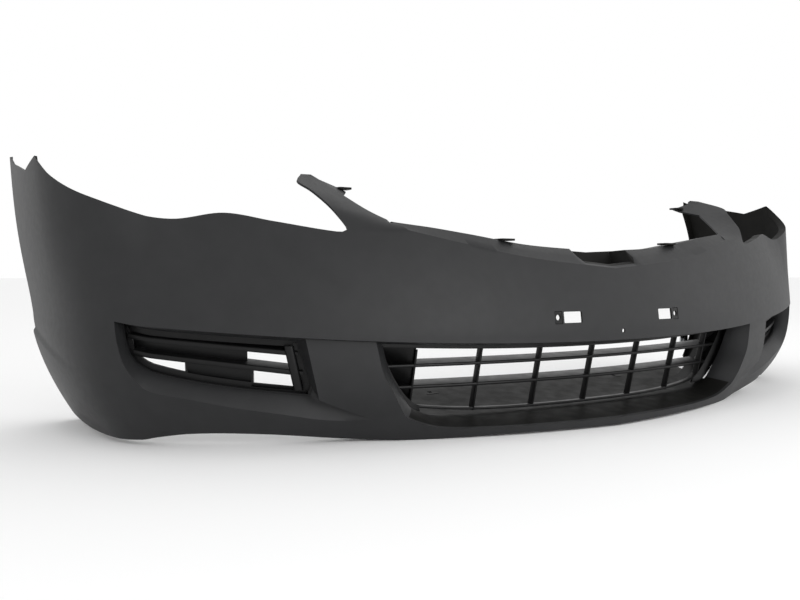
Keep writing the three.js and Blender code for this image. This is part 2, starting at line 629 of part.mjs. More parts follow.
// ---------------------------------------------------------------- fog-lamp covers
// A framed louvre: a ring that fits the recess, two slats, and a back plate that leaves some slots open.
const COVER_BACK = 60;
const offsetLoop = (loop, distance) => loop.map(([s, z], i) => {
  const before = loop[(i + loop.length - 1) % loop.length];
  const after = loop[(i + 1) % loop.length];
  const one = new THREE.Vector2(s - before[0], z - before[1]).normalize();
  const two = new THREE.Vector2(after[0] - s, after[1] - z).normalize();
  const bend = one.clone().add(two).normalize();
  const reach = distance / Math.max(bend.dot(one), 0.5);
  return [s + bend.y * reach, z - bend.x * reach];
});
const coverRing = (outer, inner, near, far) => {
  const sheet = new Sheet();
  const row = (inward, depth) => ringUp(offsetLoop(fogRim, inward).map(([s, z]) => backPoint(s, z, depth)));
  sheet.grid([row(outer, near), row(outer, far), row(inner, far), row(inner, near), row(outer, near)]);
  return sheet.closed();
};
const lowerRim = smoothCurve([
  [522, -83], [570, -78], [623, -71], [683, -60], [728, -48], [757, -37], [776, -26], [790, -9],
]);
const slatOne = (s) => mix(-22, 0, (s - 558) / 186);
const slatTwo = (s) => mix(-52, -25, (s - 547) / 186);
const coverTop = (s) => ledgeHeight(s) - 9;
const coverSlat = (line, from, to) => surfaceBlock(
  from, to, 8, (s) => line(s) - 1.5, (s) => line(s) + 1.5, 32, COVER_BACK,
);
const plate = (from, to, low, high) => surfaceBlock(from, to, 5, low, high, COVER_BACK - 3, COVER_BACK);
const lowerEdge = (s) => lowerRim(s) + 4;
const BLANK = [598, 698];
const EAR_STATIONS = [[600, 1], [720, 1], [640, -1]];
const earHeight = ([s, up]) => (up > 0 ? ledgeHeight(s) - 5 : lowerRim(s));
let cover = union([
  coverRing(2.2, 5.2, 28, COVER_BACK),
  coverSlat(slatOne, 541, 787),
  coverSlat(slatTwo, 534, 775),
  plate(546, 780, slatOne, coverTop),
  plate(606, 782, slatTwo, slatOne),
  surfaceBlock(BLANK[0], BLANK[1], 4, lowerEdge, slatTwo, 38, 41),
  ...BLANK.map((s) => surfaceBlock(s - 1.5, s + 1.5, 1, lowerEdge, slatTwo, 38, COVER_BACK)),
  ...EAR_STATIONS.map((ear) => {
    const z = earHeight(ear);
    const [low, high] = ear[1] > 0 ? [z - 6, z + 12] : [z - 11, z + 6];
    return surfaceBlock(ear[0] - 9, ear[0] + 9, 1, () => low, () => high, 38.5, 41.5);
  }),
]);
const coverScrews = EAR_STATIONS.map((ear) => {
  const z = earHeight(ear) + ear[1] * 7;
  const seat = backPoint(ear[0], z, ear[1] > 0 ? 42.6 : 43.6);
  const tip = backPoint(ear[0], z, 28);
  cover = drilled(cover, SHANK + GAP, seat, tip);
  const hole = bar(SHANK + GAP, backPoint(ear[0], z, 46), backPoint(ear[0], z, 24));
  skinSolid = skinSolid.subtract(hole).subtract(mirrorX(hole));
  return { seat, along: seat.clone().sub(tip).normalize() };
});

// ---------------------------------------------------------------- number-plate nuts
// A black plastic block in each square hole, flush with the face, with a wider collar behind the skin.
const PLATE_FACE = 6;           // how far the nut's front face lies behind the datum
const COLLAR_FRONT = 15.3;
const plateNut = (x) => {
  const [wide, high] = PLATE_NUT;
  const body = block(wide, 10, high, x, PLATE_FACE + 5, PLATE_HEIGHT);
  const collar = block(wide + 4, 2.4, high + 4, x, COLLAR_FRONT + 1.2, PLATE_HEIGHT);
  return drilled(body.add(collar), 3, V(x, -20, PLATE_HEIGHT), V(x, 40, PLATE_HEIGHT));
};

// ---------------------------------------------------------------- spring nuts
// A folded steel clip that grips the ear of the wheel-arch flange, with a short threaded barrel in front.
const springNut = () => {
  const reach = 17;
  const leg = WALL / 2 + 0.5;
  const clip = union([
    block(reach, 1, 14, 0, leg + 0.5, 0), block(reach, 1, 14, 0, -leg - 0.5, 0),
    block(1, 2 * leg + 2, 14, -reach / 2 - 0.4, 0, 0), bar(4.2, V(1, -leg - 5, 0), V(1, -leg - 0.5, 0)),
  ]);
  return drilled(clip, 2.6, V(1, -12, 0), V(1, 12, 0));
};

// ---------------------------------------------------------------- the assembly
const finish = {
  skin: { color: 0x3b3c3e, roughness: 0.62, metalness: 0 },
  insert: { color: 0x141414, roughness: 0.5, metalness: 0 },
  steel: { color: 0x77787a, roughness: 0.45, metalness: 1 },
};
const group = new THREE.Group();
const add = (name, geometry, look) => {
  const mesh = new THREE.Mesh(geometry, new THREE.MeshStandardMaterial(look));
  mesh.name = name;
  group.add(mesh);
  return mesh;
};
const addScrew = (name, seat, along) => {
  const mesh = add(name, screwGeometry(), finish.steel);
  mesh.position.copy(seat);
  mesh.quaternion.setFromUnitVectors(V(0, 1, 0), along);
};
const acrossCar = (v) => V(-v.x, v.y, v.z);

add('bumper_skin', geometryOf(skinSolid), finish.skin);
add('lower_grille', geometryOf(grille), finish.insert);
add('fog_cover_right', geometryOf(cover), finish.insert);
add('fog_cover_left', geometryOf(mirrorX(cover)), finish.insert);
grilleScrews.forEach((seat, i) => addScrew(`grille_screw_${i + 1}`, seat, V(0, 1, 0)));
coverScrews.forEach(({ seat, along }, i) => {
  addScrew(`fog_screw_right_${i + 1}`, seat, along);
  addScrew(`fog_screw_left_${i + 1}`, acrossCar(seat), acrossCar(along));
});
add('plate_nut_right', geometryOf(plateNut(PLATE_HOLE_X)), finish.insert);
add('plate_nut_left', geometryOf(plateNut(-PLATE_HOLE_X)), finish.insert);
ARCH_EARS.forEach((z, i) => {
  const at = earAt(z);
  const right = add(`spring_nut_right_${i + 1}`, geometryOf(springNut()), finish.steel);
  right.position.set(at.x - NUT_INSET, at.y, z);
  const left = add(`spring_nut_left_${i + 1}`, geometryOf(mirrorX(springNut())), finish.steel);
  left.position.set(NUT_INSET - at.x, at.y, z);
});

// The origin goes to floor level, under the middle of the footprint.
const bounds = new THREE.Box3().setFromObject(group);
group.position.set(0, -(bounds.min.y + bounds.max.y) / 2, -bounds.min.z);

export default group;
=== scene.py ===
import bmesh
import bpy
import numpy as np
from mathutils import Euler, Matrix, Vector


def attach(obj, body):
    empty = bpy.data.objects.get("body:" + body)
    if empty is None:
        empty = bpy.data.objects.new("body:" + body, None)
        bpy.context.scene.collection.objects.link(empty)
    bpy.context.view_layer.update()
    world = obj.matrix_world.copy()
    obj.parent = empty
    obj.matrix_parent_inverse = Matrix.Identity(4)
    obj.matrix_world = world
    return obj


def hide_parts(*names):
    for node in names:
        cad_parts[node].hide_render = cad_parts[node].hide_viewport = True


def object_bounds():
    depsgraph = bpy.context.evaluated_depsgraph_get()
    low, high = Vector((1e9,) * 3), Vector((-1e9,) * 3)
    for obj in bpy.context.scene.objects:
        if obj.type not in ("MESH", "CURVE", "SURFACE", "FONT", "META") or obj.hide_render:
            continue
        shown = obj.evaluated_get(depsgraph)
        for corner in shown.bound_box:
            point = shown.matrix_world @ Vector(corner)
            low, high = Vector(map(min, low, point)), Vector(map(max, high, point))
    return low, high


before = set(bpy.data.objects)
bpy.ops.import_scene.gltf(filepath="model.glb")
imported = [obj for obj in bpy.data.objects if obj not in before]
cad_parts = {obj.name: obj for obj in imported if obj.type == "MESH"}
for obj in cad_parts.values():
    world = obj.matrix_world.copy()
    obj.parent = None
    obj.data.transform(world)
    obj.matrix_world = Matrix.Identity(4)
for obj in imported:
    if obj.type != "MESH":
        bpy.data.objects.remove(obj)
cad_low, cad_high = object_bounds()

# ------------------------------------------------------------------ studio
# A pale floor and a white surround, as for a catalogue: soft light from all round, a large soft box in front
# and two weak ones at the sides. Nothing here belongs to the part.
MM = 0.001
LOWEST_BELOW_DATUM = 160.0  # the skin's lowest edge, in millimetres under the middle of the number plate
DATUM = np.array([0.0, cad_low[1], cad_low[2] + LOWEST_BELOW_DATUM * MM])
SURROUND = 0.95
CAMERA_FROM_DATUM = np.array([-962.0, -919.0, 96.0]) * MM
CAMERA_TURN, CAMERA_DIP, LENS = 30.0, 2.02, 34.5

scene = bpy.context.scene
scene.view_settings.view_transform = "Standard"
camera = bpy.data.objects.new("camera", bpy.data.cameras.new("camera"))
camera.data.lens = LENS
camera.data.clip_start, camera.data.clip_end = 0.05, 200.0
camera.location = DATUM + CAMERA_FROM_DATUM
camera.rotation_euler = Euler(np.radians([90.0 - CAMERA_DIP, 0.0, -CAMERA_TURN]))
scene.collection.objects.link(camera)
scene.camera = camera


def white_surround(strength):
    """A world that is plain white to the eye and lights the part at the given strength."""
    world = bpy.data.worlds.new("surround")
    scene.world = world
    world.use_nodes = True
    nodes, links = world.node_tree.nodes, world.node_tree.links
    nodes.clear()
    seen, light, path = [nodes.new(f"ShaderNode{kind}") for kind in ("Background", "Background", "LightPath")]
    seen.inputs["Strength"].default_value = 1.0
    light.inputs["Strength"].default_value = strength
    for shader in (seen, light):
        shader.inputs["Color"].default_value = (1.0, 1.0, 1.0, 1.0)
    choose, out = nodes.new("ShaderNodeMixShader"), nodes.new("ShaderNodeOutputWorld")
    links.new(path.outputs["Is Camera Ray"], choose.inputs[0])
    links.new(light.outputs[0], choose.inputs[1])
    links.new(seen.outputs[0], choose.inputs[2])
    links.new(choose.outputs[0], out.inputs["Surface"])


def soft_box(name, place, aim, size, power):
    """A square area light at a place, turned to face a point, both in metres."""
    lamp = bpy.data.objects.new(name, bpy.data.lights.new(name, "AREA"))
    lamp.data.shape, lamp.data.size, lamp.data.energy = "SQUARE", size, power
    lamp.location = place
    towards = bpy.context.scene.camera.location.copy()
    towards[:] = np.subtract(aim, place)
    lamp.rotation_euler = towards.to_track_quat("-Z", "Y").to_euler()
    scene.collection.objects.link(lamp)


def pale_floor(half, height):
    """A flat square, `half` metres from its middle to each side."""
    corner = np.array([[-1, -1], [1, -1], [1, 1], [-1, 1]]) * half
    mesh = bpy.data.meshes.new("floor")
    mesh.from_pydata(np.column_stack([corner, np.full(4, height)]).tolist(), [], [[0, 1, 2, 3]])
    floor = bpy.data.objects.new("floor", mesh)
    scene.collection.objects.link(floor)
    paint = bpy.data.materials.new("floor_white")
    paint.use_nodes = True
    paint.node_tree.nodes["Principled BSDF"].inputs["Base Color"].default_value = (0.96, 0.96, 0.96, 1.0)
    paint.node_tree.nodes["Principled BSDF"].inputs["Roughness"].default_value = 0.9
    mesh.materials.append(paint)


white_surround(SURROUND)
soft_box("right_box", (3.0, -1.9, 1.0), (0.2, -0.1, 0.2), 1.6, 10.0)
soft_box("front_box", (0.3, -3.8, 1.0), (-0.2, -0.2, 0.1), 2.0, 60.0)
soft_box("left_box", (-3.6, 0.6, 1.6), (-0.8, 0.1, 0.2), 1.6, 5.0)
pale_floor(40.0, cad_low[2] - 0.0005)

# ------------------------------------------------------------------ bumper skin
# One injection moulding in talc-filled polypropylene, 3.2 mm thick, primed dark grey on the outside and left
# bare inside. Lip, recesses, bracket arms, shelf and return flanges all come out of the same tool.
# The bare finish also darkens the intake's floor and the pocket on the nose as painted shade.
WALL = 3.2
NOSE_RADIUS = 2990.0  # y = x * x / NOSE_RADIUS across the nose
CORNER_START, CORNER_LENGTH = 740.0, 395.0
HALF_WIDTH, ARCH_DEPTH = 860.0, 548.0
CREASE_HEIGHT, CREASE_LEAN = 104.0, 20.0
LIP_DROP, LIP_RISE, LEDGE = 15.0, 43.0, 9.0
FOG_INNER, FOG_TIP, FUNNEL = 532.0, 797.0, 30.0
INTAKE_HALF, INTAKE_RIM_HALF = 433.0, 404.0
ARM_INNER, ARM_OUTER, PEAK, FENDER_NOTCH, ARCH = 377.0, 469.0, 962.0, 1014.0, 1130.0
JUST_ABOVE = 1e-6


def smoothstep(low, high, value):
    """0 below low, 1 above high, and 3 t^2 - 2 t^3 between them."""
    t = np.clip((value - low) / (high - low), 0.0, 1.0)
    return t * t * (3.0 - 2.0 * t)


def mix(a, b, t):
    """a where t is 0, b where it is 1, and a straight line between."""
    return a + (b - a) * t


def smooth_curve(points):
    """y(x) through a few points: a cubic in each interval, with its neighbours' chord slopes at its ends."""
    x, y = np.array(points, float).T
    slope = np.gradient(y, x)
    slope[1:-1] = (y[2:] - y[:-2]) / (x[2:] - x[:-2])

    def curve(v):
        i = np.clip(np.searchsorted(x, v, side="right") - 1, 0, len(x) - 2)
        width, rise = x[i + 1] - x[i], y[i + 1] - y[i]
        t = np.clip((v - x[i]) / width, 0.0, 1.0)
        bend = t * (1.0 - t) * ((1.0 - t) * (slope[i] * width - rise) - t * (slope[i + 1] * width - rise))
        return y[i] + rise * t + bend

    return curve


def plan(station):
    """Plan point and tangent at a station: a parabola, a Bezier curve round the corner, then straight."""
    s = np.asarray(station, float)[..., None]
    nose_way = np.array([1.0, 2.0 * CORNER_START / NOSE_RADIUS])
    nose_way /= np.linalg.norm(nose_way)
    arch_way = np.array([0.02, 1.0]) / np.hypot(0.02, 1.0)
    p0 = np.array([CORNER_START, CORNER_START**2 / NOSE_RADIUS])
    p3 = np.array([HALF_WIDTH, ARCH_DEPTH])
    p1, p2 = p0 + 105.0 * nose_way, p3 - 250.0 * arch_way
    t = np.clip((s - CORNER_START) / CORNER_LENGTH, 0.0, 1.0)
    u = 1.0 - t
    corner = u**3 * p0 + 3 * u * u * t * p1 + 3 * u * t * t * p2 + t**3 * p3
    corner = corner + np.maximum(s - CORNER_START - CORNER_LENGTH, 0.0) * arch_way
    turning = u * u * (p1 - p0) + 2 * u * t * (p2 - p1) + t * t * (p3 - p2)
    nose = np.concatenate([s, s * s / NOSE_RADIUS], -1)
    ahead = np.concatenate([np.ones_like(s), 2.0 * s / NOSE_RADIUS], -1)
    on_nose = s < CORNER_START
    point, along = np.where(on_nose, nose, corner), np.where(on_nose, ahead, turning)
    return point, along / np.linalg.norm(along, axis=-1, keepdims=True)


def lip_height(s):
    """The lip over the recess and the intake: a power curve that rises from the middle outwards."""
    return -LIP_DROP + LIP_RISE * (np.minimum(s, FOG_TIP) / FOG_TIP) ** 2.2


def ledge_height(s):
    """The back of the ledge under the lip, 2 mm lower and running out towards the tip."""
    return lip_height(s) - 2.0 * (1.0 - smoothstep(700.0, FOG_TIP, s))


bottom_height = smooth_curve(
    [[0, -158], [200, -157], [377, -159.95], [460, -156], [590, -143], [690, -142], [780, -152], [1135, -150]]
)
bottom_inset = smooth_curve(
    [[0, 6], [200, 19], [380, 40], [460, 50], [590, 46], [690, 55], [780, 62], [900, 62], [1135, 66]]
)
bulge = smooth_curve([[0, 2], [460, 2], [750, 2.4], [900, 2.2], [1135, 1.6]])
arch_station = smooth_curve([[-160, 1122], [-40, 1124], [40, 1127], [125, 1141], [208, 1163], [302, 1200]])
crease_height = smooth_curve([[0, CREASE_HEIGHT], [171, 120], [290, 142], [ARM_INNER, 161]])
headlight_edge = smooth_curve([
    [ARM_OUTER, 161], [480, 157], [573, 172], [643, 184], [709, 174], [769, 183], [859, 206], [898, 221],
    [933, 242], [PEAK, 269],
])
wing_edge = smooth_curve([[FENDER_NOTCH, 254], [1080, 280], [ARCH, 301.3]])


def top_height(s):
    """Height of the upper face's top edge: nose crease, arm foot, headlight edge, notch, then wing edge."""
    notch = mix(headlight_edge(PEAK), wing_edge(FENDER_NOTCH), (s - PEAK) / (FENDER_NOTCH - PEAK))
    return np.select(
        [s <= ARM_INNER, s <= ARM_OUTER, s <= PEAK, s <= FENDER_NOTCH],
        [crease_height(s), crease_height(ARM_INNER) + 0.0 * s, headlight_edge(s), notch],
        wing_edge(s),
    )


def inset(s, z, behind_lip):
    """How far the surface lies inside the plan curve. Above the lip the nose leans back with height to the
    power 1.5 and the sides flare as a tanh; below it the surface tucks in as a power of the depth."""
    lip = lip_height(s)
    upper, below = np.maximum(z, lip), np.maximum(lip - z, 0.0)
    lean = CREASE_LEAN * (np.maximum(upper, 0.0) / CREASE_HEIGHT) ** 1.5
    flare = -17.0 * np.tanh((upper - 96.0) / 110.0)
    tuck = bottom_inset(s) * (below / (lip - bottom_height(s))) ** bulge(s)
    step = LEDGE * (1.0 - smoothstep(560.0, 790.0, s)) * (1.0 - smoothstep(0.0, 100.0, below))
    step = np.where((below > 0.0) | behind_lip, step, 0.0)
    return mix(lean, flare, smoothstep(640.0, 990.0, s)) + tuck + step


def face_point(station, z, depth=0.0, behind_lip=False):
    """A point on the outer surface, or `depth` behind it. The outer stations stretch to the wheel arch."""
    station, z, depth = np.broadcast_arrays(*[np.asarray(v, float) for v in (station, z, depth)])
    s = station + (arch_station(z) - ARCH) * np.maximum((station - FOG_TIP) / (ARCH - FOG_TIP), 0.0)
    point, along = plan(s)
    d = (inset(s, z, behind_lip) + depth)[..., None]
    inward = np.stack([-along[..., 1], along[..., 0]], -1)
    return np.concatenate([point + inward * d, z[..., None]], -1)


def arch_panel(s, z):
    """How far the panel under the arch's crease stands proud: up to 4 mm at the arch, nothing further in."""
    crease = mix(-44.0, 4.0, np.clip((s - 917.0) / 213.0, 0.0, 1.0) ** 1.3)
    return 4.2 * (1.0 - smoothstep(crease - 7.0, crease, z)) * smoothstep(900.0, 1125.0, s)


def lower_point(s, z):
    """A point of the lower body, with the panel at the arch raised from it."""
    return face_point(s, z, -arch_panel(s, z))


def run(*breaks, step=8.0):
    """Stations from the first break to the last, evenly spaced in each interval, at most `step` apart."""
    pieces = [
        np.linspace(a, b, int(np.ceil(abs(b - a) / step)), endpoint=False) for a, b in zip(breaks, breaks[1:])
    ]
    return np.append(np.concatenate(pieces), float(breaks[-1]))


def spline(table, count):
    """Rows through the given ones, evenly spaced along the curve: a Catmull-Rom cubic between neighbours."""
    p = np.array(table, float)
    padded = np.vstack([2 * p[0] - p[1], p, 2 * p[-1] - p[-2]])
    t = np.linspace(0.0, 1.0, 24, endpoint=False)[:, None]
    spans = [
        0.5 * (2 * b + (c - a) * t + (2 * a - 5 * b + 4 * c - d) * t**2 + (3 * b - a - 3 * c + d) * t**3)
        for a, b, c, d in zip(padded, padded[1:], padded[2:], padded[3:])
    ]
    fine = np.vstack([*spans, p[-1:]])
    run_length = np.append(0.0, np.cumsum(np.linalg.norm(np.diff(fine[:, :2], axis=0), axis=1)))
    at = np.linspace(0.0, run_length[-1], count)
    return np.stack([np.interp(at, run_length, column) for column in fine.T], -1)


def across(first, last, rows):
    """A grid whose rows go straight from one line of points to another."""
    v = np.linspace(0.0, 1.0, rows)[:, None, None]
    return mix(first[None], last[None], v)


def rolled(edge, leaving, rim, rows):
    """A wall from an edge in to a rim: a cubic that leaves along `leaving`, which rounds the edge over."""
    v = np.linspace(0.0, 1.0, rows)[:, None, None]
    arriving = (rim - edge) * np.array([0.2, 1.0, 0.2])
    start = leaving + 0.6 * (rim - edge)
    return (
        (2 * v**3 - 3 * v**2 + 1) * edge + (v**3 - 2 * v**2 + v) * start
        + (3 * v**2 - 2 * v**3) * rim + (v**3 - v**2) * arriving
    )


BARE_AND_PAINTED_SHADE = 1  # index of the unpainted finish on the skin, also put on the intake's floor and the nose pocket as painted shade
patches = []  # (grid of points, finish index)

# Upper face, from the lip up.
stations = run(0, 58, 66, ARM_INNER, INTAKE_HALF, ARM_OUTER, FOG_INNER, FOG_TIP, PEAK, FENDER_NOTCH, ARCH)
climb = np.linspace(0.0, 1.0, 34)[:, None]
lip_start = lip_height(stations) + JUST_ABOVE
upper_face = face_point(stations, mix(lip_start, top_height(stations), climb))
patches.append((upper_face, 0))
top_line = upper_face[-1]

# Ledge under the lip.
ledge_stations = stations[stations <= FOG_TIP]
lip_line = upper_face[0][stations <= FOG_TIP]
ledge_line = face_point(ledge_stations, ledge_height(ledge_stations))
ledge_line[-1] = lip_line[-1]
patches.append((across(ledge_line, lip_line, 3), 0))

# Borders of the intake and of the fog-lamp recess, as rows of [station, height, foot station, and the rim's
# station or x and height, and how far the edge is rolled over].
intake_border = spline(
    [
        [0, -146, 0, 0, -136, 4], [66, -146, 66, 66, -136, 4], [169, -146, 169, 165, -136, 4],
        [261, -145, 261, 250, -135, 4], [330, -141, 330, 308, -131, 4], [377, -126, 377, 345, -117, 5],
        [392, -110, 394, 360, -101, 5], [408, -78, 410, 380, -72, 5], [422, -54, 424, 391, -50, 4],
        [INTAKE_HALF, ledge_height(INTAKE_HALF), 437, INTAKE_RIM_HALF, lip_height(INTAKE_HALF) - 8.0, 0],
    ],
    84,
)
neck_at = int(np.argmax(intake_border[:, 1] >= -118.0))
beside_pillar = intake_border[neck_at:][::-1]
neck = beside_pillar[-1]
rim_tip, rim_inner = ledge_height(FOG_TIP) - 5.0, ledge_height(FOG_INNER) - 5.0
pillar_corner = [513, -90, 0, 524, -69, 0]
scoop_tip = [437, -123, 440, 526, -80, 3]
recess_end = [FOG_INNER, ledge_height(FOG_INNER), 0, 543, rim_inner, 0]
upright_rows = len(beside_pillar) // 2
recess_side = np.vstack([
    spline([recess_end, pillar_corner], upright_rows)[:-1],
    spline([pillar_corner, [476, -107, 0, 524.5, -75, 0], scoop_tip], len(beside_pillar) - upright_rows + 1),
])
ridge = spline(
    [
        scoop_tip, [470, -124.5, 470, 527, -82, 8], [512, -121, 512, 529, -84, 10],
        [562, -111, 562, 570, -79, 12], [623, -100, 623, 623, -72, 16], [683, -86, 683, 683, -61, 16],
        [735, -73, 735, 728, -49, 14], [762, -54, 762, 757, -38, 10], [781, -32, 781, 776, -27, 6],
        [792, -2, 791, 790, -9, 3], [FOG_TIP, lip_height(FOG_TIP), FOG_TIP, 798, rim_tip, 0],
    ],
    74,
)
side_top = stations[stations >= FOG_TIP]

# The pillar between the intake and the recess: its rows run from the intake's border to the recess's.
pillar_top = stations[(stations >= INTAKE_HALF) & (stations <= FOG_INNER)]
over = (pillar_top - INTAKE_HALF) / (FOG_INNER - INTAKE_HALF)
down = np.linspace(0.0, 1.0, len(beside_pillar))[:, None]
pillar_s = mix(beside_pillar[:, :1], recess_side[:, :1], over)
pillar_z = mix(beside_pillar[:, 1:2], recess_side[:, 1:2], over)
pillar_z = pillar_z + (1.0 - down) * (ledge_height(pillar_top) - pillar_z[0])
patches.append((lower_point(pillar_s, pillar_z)[::-1], 0))

# Lower body: a band from those borders down to the bottom edge, then the edge turns in.
below_intake = intake_border[:neck_at]
band_top = np.concatenate([below_intake[:, 0], pillar_s[-1, :-1], ridge[:-1, 0], side_top])
band_height = np.concatenate([below_intake[:, 1], pillar_z[-1, :-1], ridge[:-1, 1], lip_height(side_top)])
band_foot = np.concatenate([
    below_intake[:, 2], mix(neck[2], scoop_tip[2], over[:-1]), ridge[:-1, 2], side_top,
])
rise = np.linspace(0.0, 1.0, 44)[:, None]
band = lower_point(mix(band_foot, band_top, rise), mix(bottom_height(band_foot), band_height, rise))
patches.append((band, 0))
bottom_line = band[0]
turn = np.gradient(bottom_line[:, :2], axis=0)
turn /= np.linalg.norm(turn, axis=1, keepdims=True)
turned_in = np.column_stack([-turn[:, 1], turn[:, 0], np.full(len(turn), 4.0 / 24.0)]) * 24.0
turned_in[0, 0] = 0.0
patches.append((across(bottom_line + turned_in, bottom_line, 4), BARE_AND_PAINTED_SHADE))

# Walls of the fog-lamp recess: a soft ridge below, sharp above, in to a rim with a screwing flange round it.
recess_top = stations[(stations >= FOG_INNER) & (stations <= FOG_TIP)][1:-1]
top_rim = np.column_stack([
    mix(543.0, 798.0, (recess_top - FOG_INNER) / (FOG_TIP - FOG_INNER)), ledge_height(recess_top) - 5.0,
])
lower_loop = np.vstack([recess_side[:-1], ridge])
loop_edge = np.vstack([
    lower_point(lower_loop[:, 0], lower_loop[:, 1]),
    face_point(recess_top, ledge_height(recess_top))[::-1],
])
loop_edge[len(lower_loop) - 1] = lip_line[-1]
rim_outline = np.vstack([lower_loop[:, 3:5], top_rim[::-1]])
loop_rim = face_point(rim_outline[:, 0], rim_outline[:, 1], FUNNEL, True)
roll = np.append(lower_loop[:, 5], np.zeros(len(recess_top)))
leaving = np.column_stack([np.zeros(len(roll)), np.zeros(len(roll)), roll])
outward = (rim_outline - [660.0, -30.0]) * [0.25, 1.0]
outward /= np.linalg.norm(outward, axis=1, keepdims=True)
flange_outline = rim_outline + 12.0 * outward
loop_flange = face_point(flange_outline[:, 0], flange_outline[:, 1], FUNNEL + 1.0, True)


def ringed(grid):
    """The same grid with its first column repeated at the end, so that it closes on itself."""
    return np.concatenate([grid, grid[:, :1]], 1)


patches.append((ringed(rolled(loop_edge, leaving, loop_rim, 9)), 0))
patches.append((ringed(across(loop_rim, loop_flange, 3)), BARE_AND_PAINTED_SHADE))

# Walls of the lower intake, and the wide shelf that carries on rearward from its floor.
SHELF_BACK, SHELF_SPREAD, SHELF_END = 300.0, 1.36, -115.0


def intake_rim(x, z):
    """The rim behind the intake: a parabola in plan that leans back as it goes down."""
    return np.stack([x, 60.0 + x * x / 3600.0 + 0.2 * (-20.0 - z), z], -1)


intake_top = ledge_stations[ledge_stations <= INTAKE_HALF]
rim_top = intake_rim(intake_top * INTAKE_RIM_HALF / INTAKE_HALF, lip_height(intake_top) - 8.0)
rim_low = intake_rim(intake_border[:, 3], intake_border[:, 4])
edge_top = ledge_line[ledge_stations <= INTAKE_HALF]
edge_low = lower_point(intake_border[:, 0], intake_border[:, 1])
patches.append((across(rim_top, edge_top, 6), 0))
towards_opening = np.stack([-intake_border[:, 0] / 433.0, 0 * rim_low[:, 0], 0.3 + 0 * rim_low[:, 0]], -1)
intake_wall = rolled(edge_low, towards_opening * intake_border[:, 5:], rim_low, 8)
floor_end = int(np.argmax(intake_border[:, 0] >= ARM_INNER)) + 1
patches.append((intake_wall[:2][::-1][:, ::-1], 0))
patches.append((intake_wall[1:, floor_end - 1:][::-1][:, ::-1], 0))
# The intake's floor, in from its rolled edge, takes the dark bare finish as painted shade for the deep
# intake.
patches.append((intake_wall[1:, :floor_end][::-1][:, ::-1], BARE_AND_PAINTED_SHADE))
top_flange = rim_top + np.array([0.0, 1.5, 13.0])
patches.append((across(top_flange, rim_top, 3), BARE_AND_PAINTED_SHADE))
on_side = intake_border[:, 0] >= ARM_INNER
side_rim = rim_low[on_side][::-1]
slack = np.linspace(0.0, 1.0, len(side_rim))[:, None]
side_flange = side_rim + mix(np.array([12.0, 2.0, 2.0]), np.array([5.0, 3.0, -8.0]), slack)
patches.append((across(side_flange, side_rim, 3), BARE_AND_PAINTED_SHADE))
shelf_front = rim_low[intake_border[:, 0] <= ARM_INNER + 1e-6]
back = np.linspace(0.0, 1.0, 20)[:, None]
shelf = np.stack([
    shelf_front[:, 0] * mix(1.0, SHELF_SPREAD, back),
    mix(shelf_front[:, 1], SHELF_BACK, back),
    mix(shelf_front[:, 2], SHELF_END, smoothstep(0.0, 1.0, back)),
], -1)
patches.append((shelf, BARE_AND_PAINTED_SHADE))

# Top of the nose: a soft crease, a chamfer and a ledge behind it, with a shallow pocket in the middle.
chamfer_edge = smooth_curve([[0, 134], [150, 142], [264, 158], [ARM_INNER, 175]])
chamfer_run = smooth_curve([[0, 40], [150, 38], [264, 30], [ARM_INNER, 27]])
nose = stations[stations <= ARM_INNER]
crease = top_line[stations <= ARM_INNER]
sideways = 15.0 * smoothstep(ARM_INNER - 60.0, ARM_INNER, nose)
edge = np.column_stack([crease[:, 0] + sideways, crease[:, 1] + chamfer_run(nose), chamfer_edge(nose)])
width = mix(42.0, 9.0, smoothstep(200.0, ARM_INNER, nose))
pocket = (1.0 - smoothstep(58.0, 66.0, nose))[:, None]
ledge_rows = [edge + np.column_stack([0 * width, width * v, 0 * width - 2.0 * v]) for v in (0.35, 0.75, 1.0)]
step_up, floor_back = crease + [0.0, 18.0, 7.0], crease + [0.0, 62.0, 3.0]
nose_rows = [crease, mix(edge, step_up, pocket), mix(ledge_rows[0], floor_back, pocket), *ledge_rows[1:]]
nose_rows = np.stack([crease, mix(crease, nose_rows[1], 0.5), *nose_rows[1:]])
pocket_end_column = int(np.searchsorted(nose, 64.0))
patches.append((nose_rows[:2], 0))
patches.append((nose_rows[1:, pocket_end_column:], 0))
# The pocket takes the dark bare finish as painted shade.
patches.append((nose_rows[1:, :pocket_end_column + 1], BARE_AND_PAINTED_SHADE))

# Bracket arm beside the headlight, curving up and back to a hooked tab.
arm_inner = [[392, 122, 175], [404, 148, 194], [424, 193, 220], [446, 240, 249], [458, 246, 257]]
arm_outer = [[470, 128, 188], [478, 147, 205], [490, 172, 224], [502, 196, 239], [478, 240, 256]]
arm_columns = (stations >= ARM_INNER) & (stations <= ARM_OUTER)
foot = upper_face[:, arm_columns]
share = np.linspace(0.0, 1.0, foot.shape[1])[:, None]
arm_inner[0] = edge[-1]
arm_rungs = np.stack([
    foot[-1],
    *[mix(np.array(a, float), np.array(b, float), share) for a, b in zip(arm_inner, arm_outer)],
])
arm_guide = np.concatenate([foot[-5:-4], arm_rungs, 2 * arm_rungs[-1:] - arm_rungs[-2:-1]])


def between_rungs(guide, parts):
    """Rows carried up through the given ones, `parts` to each gap: a Catmull-Rom cubic in every column."""
    t = (np.arange(parts) / parts)[:, None, None]
    spans = [
        0.5 * (2 * b + (c - a) * t + (2 * a - 5 * b + 4 * c - d) * t**2 + (3 * b - a - 3 * c + d) * t**3)
        for a, b, c, d in zip(guide, guide[1:], guide[2:], guide[3:])
    ]
    return np.concatenate([*spans, guide[-2:-1]])


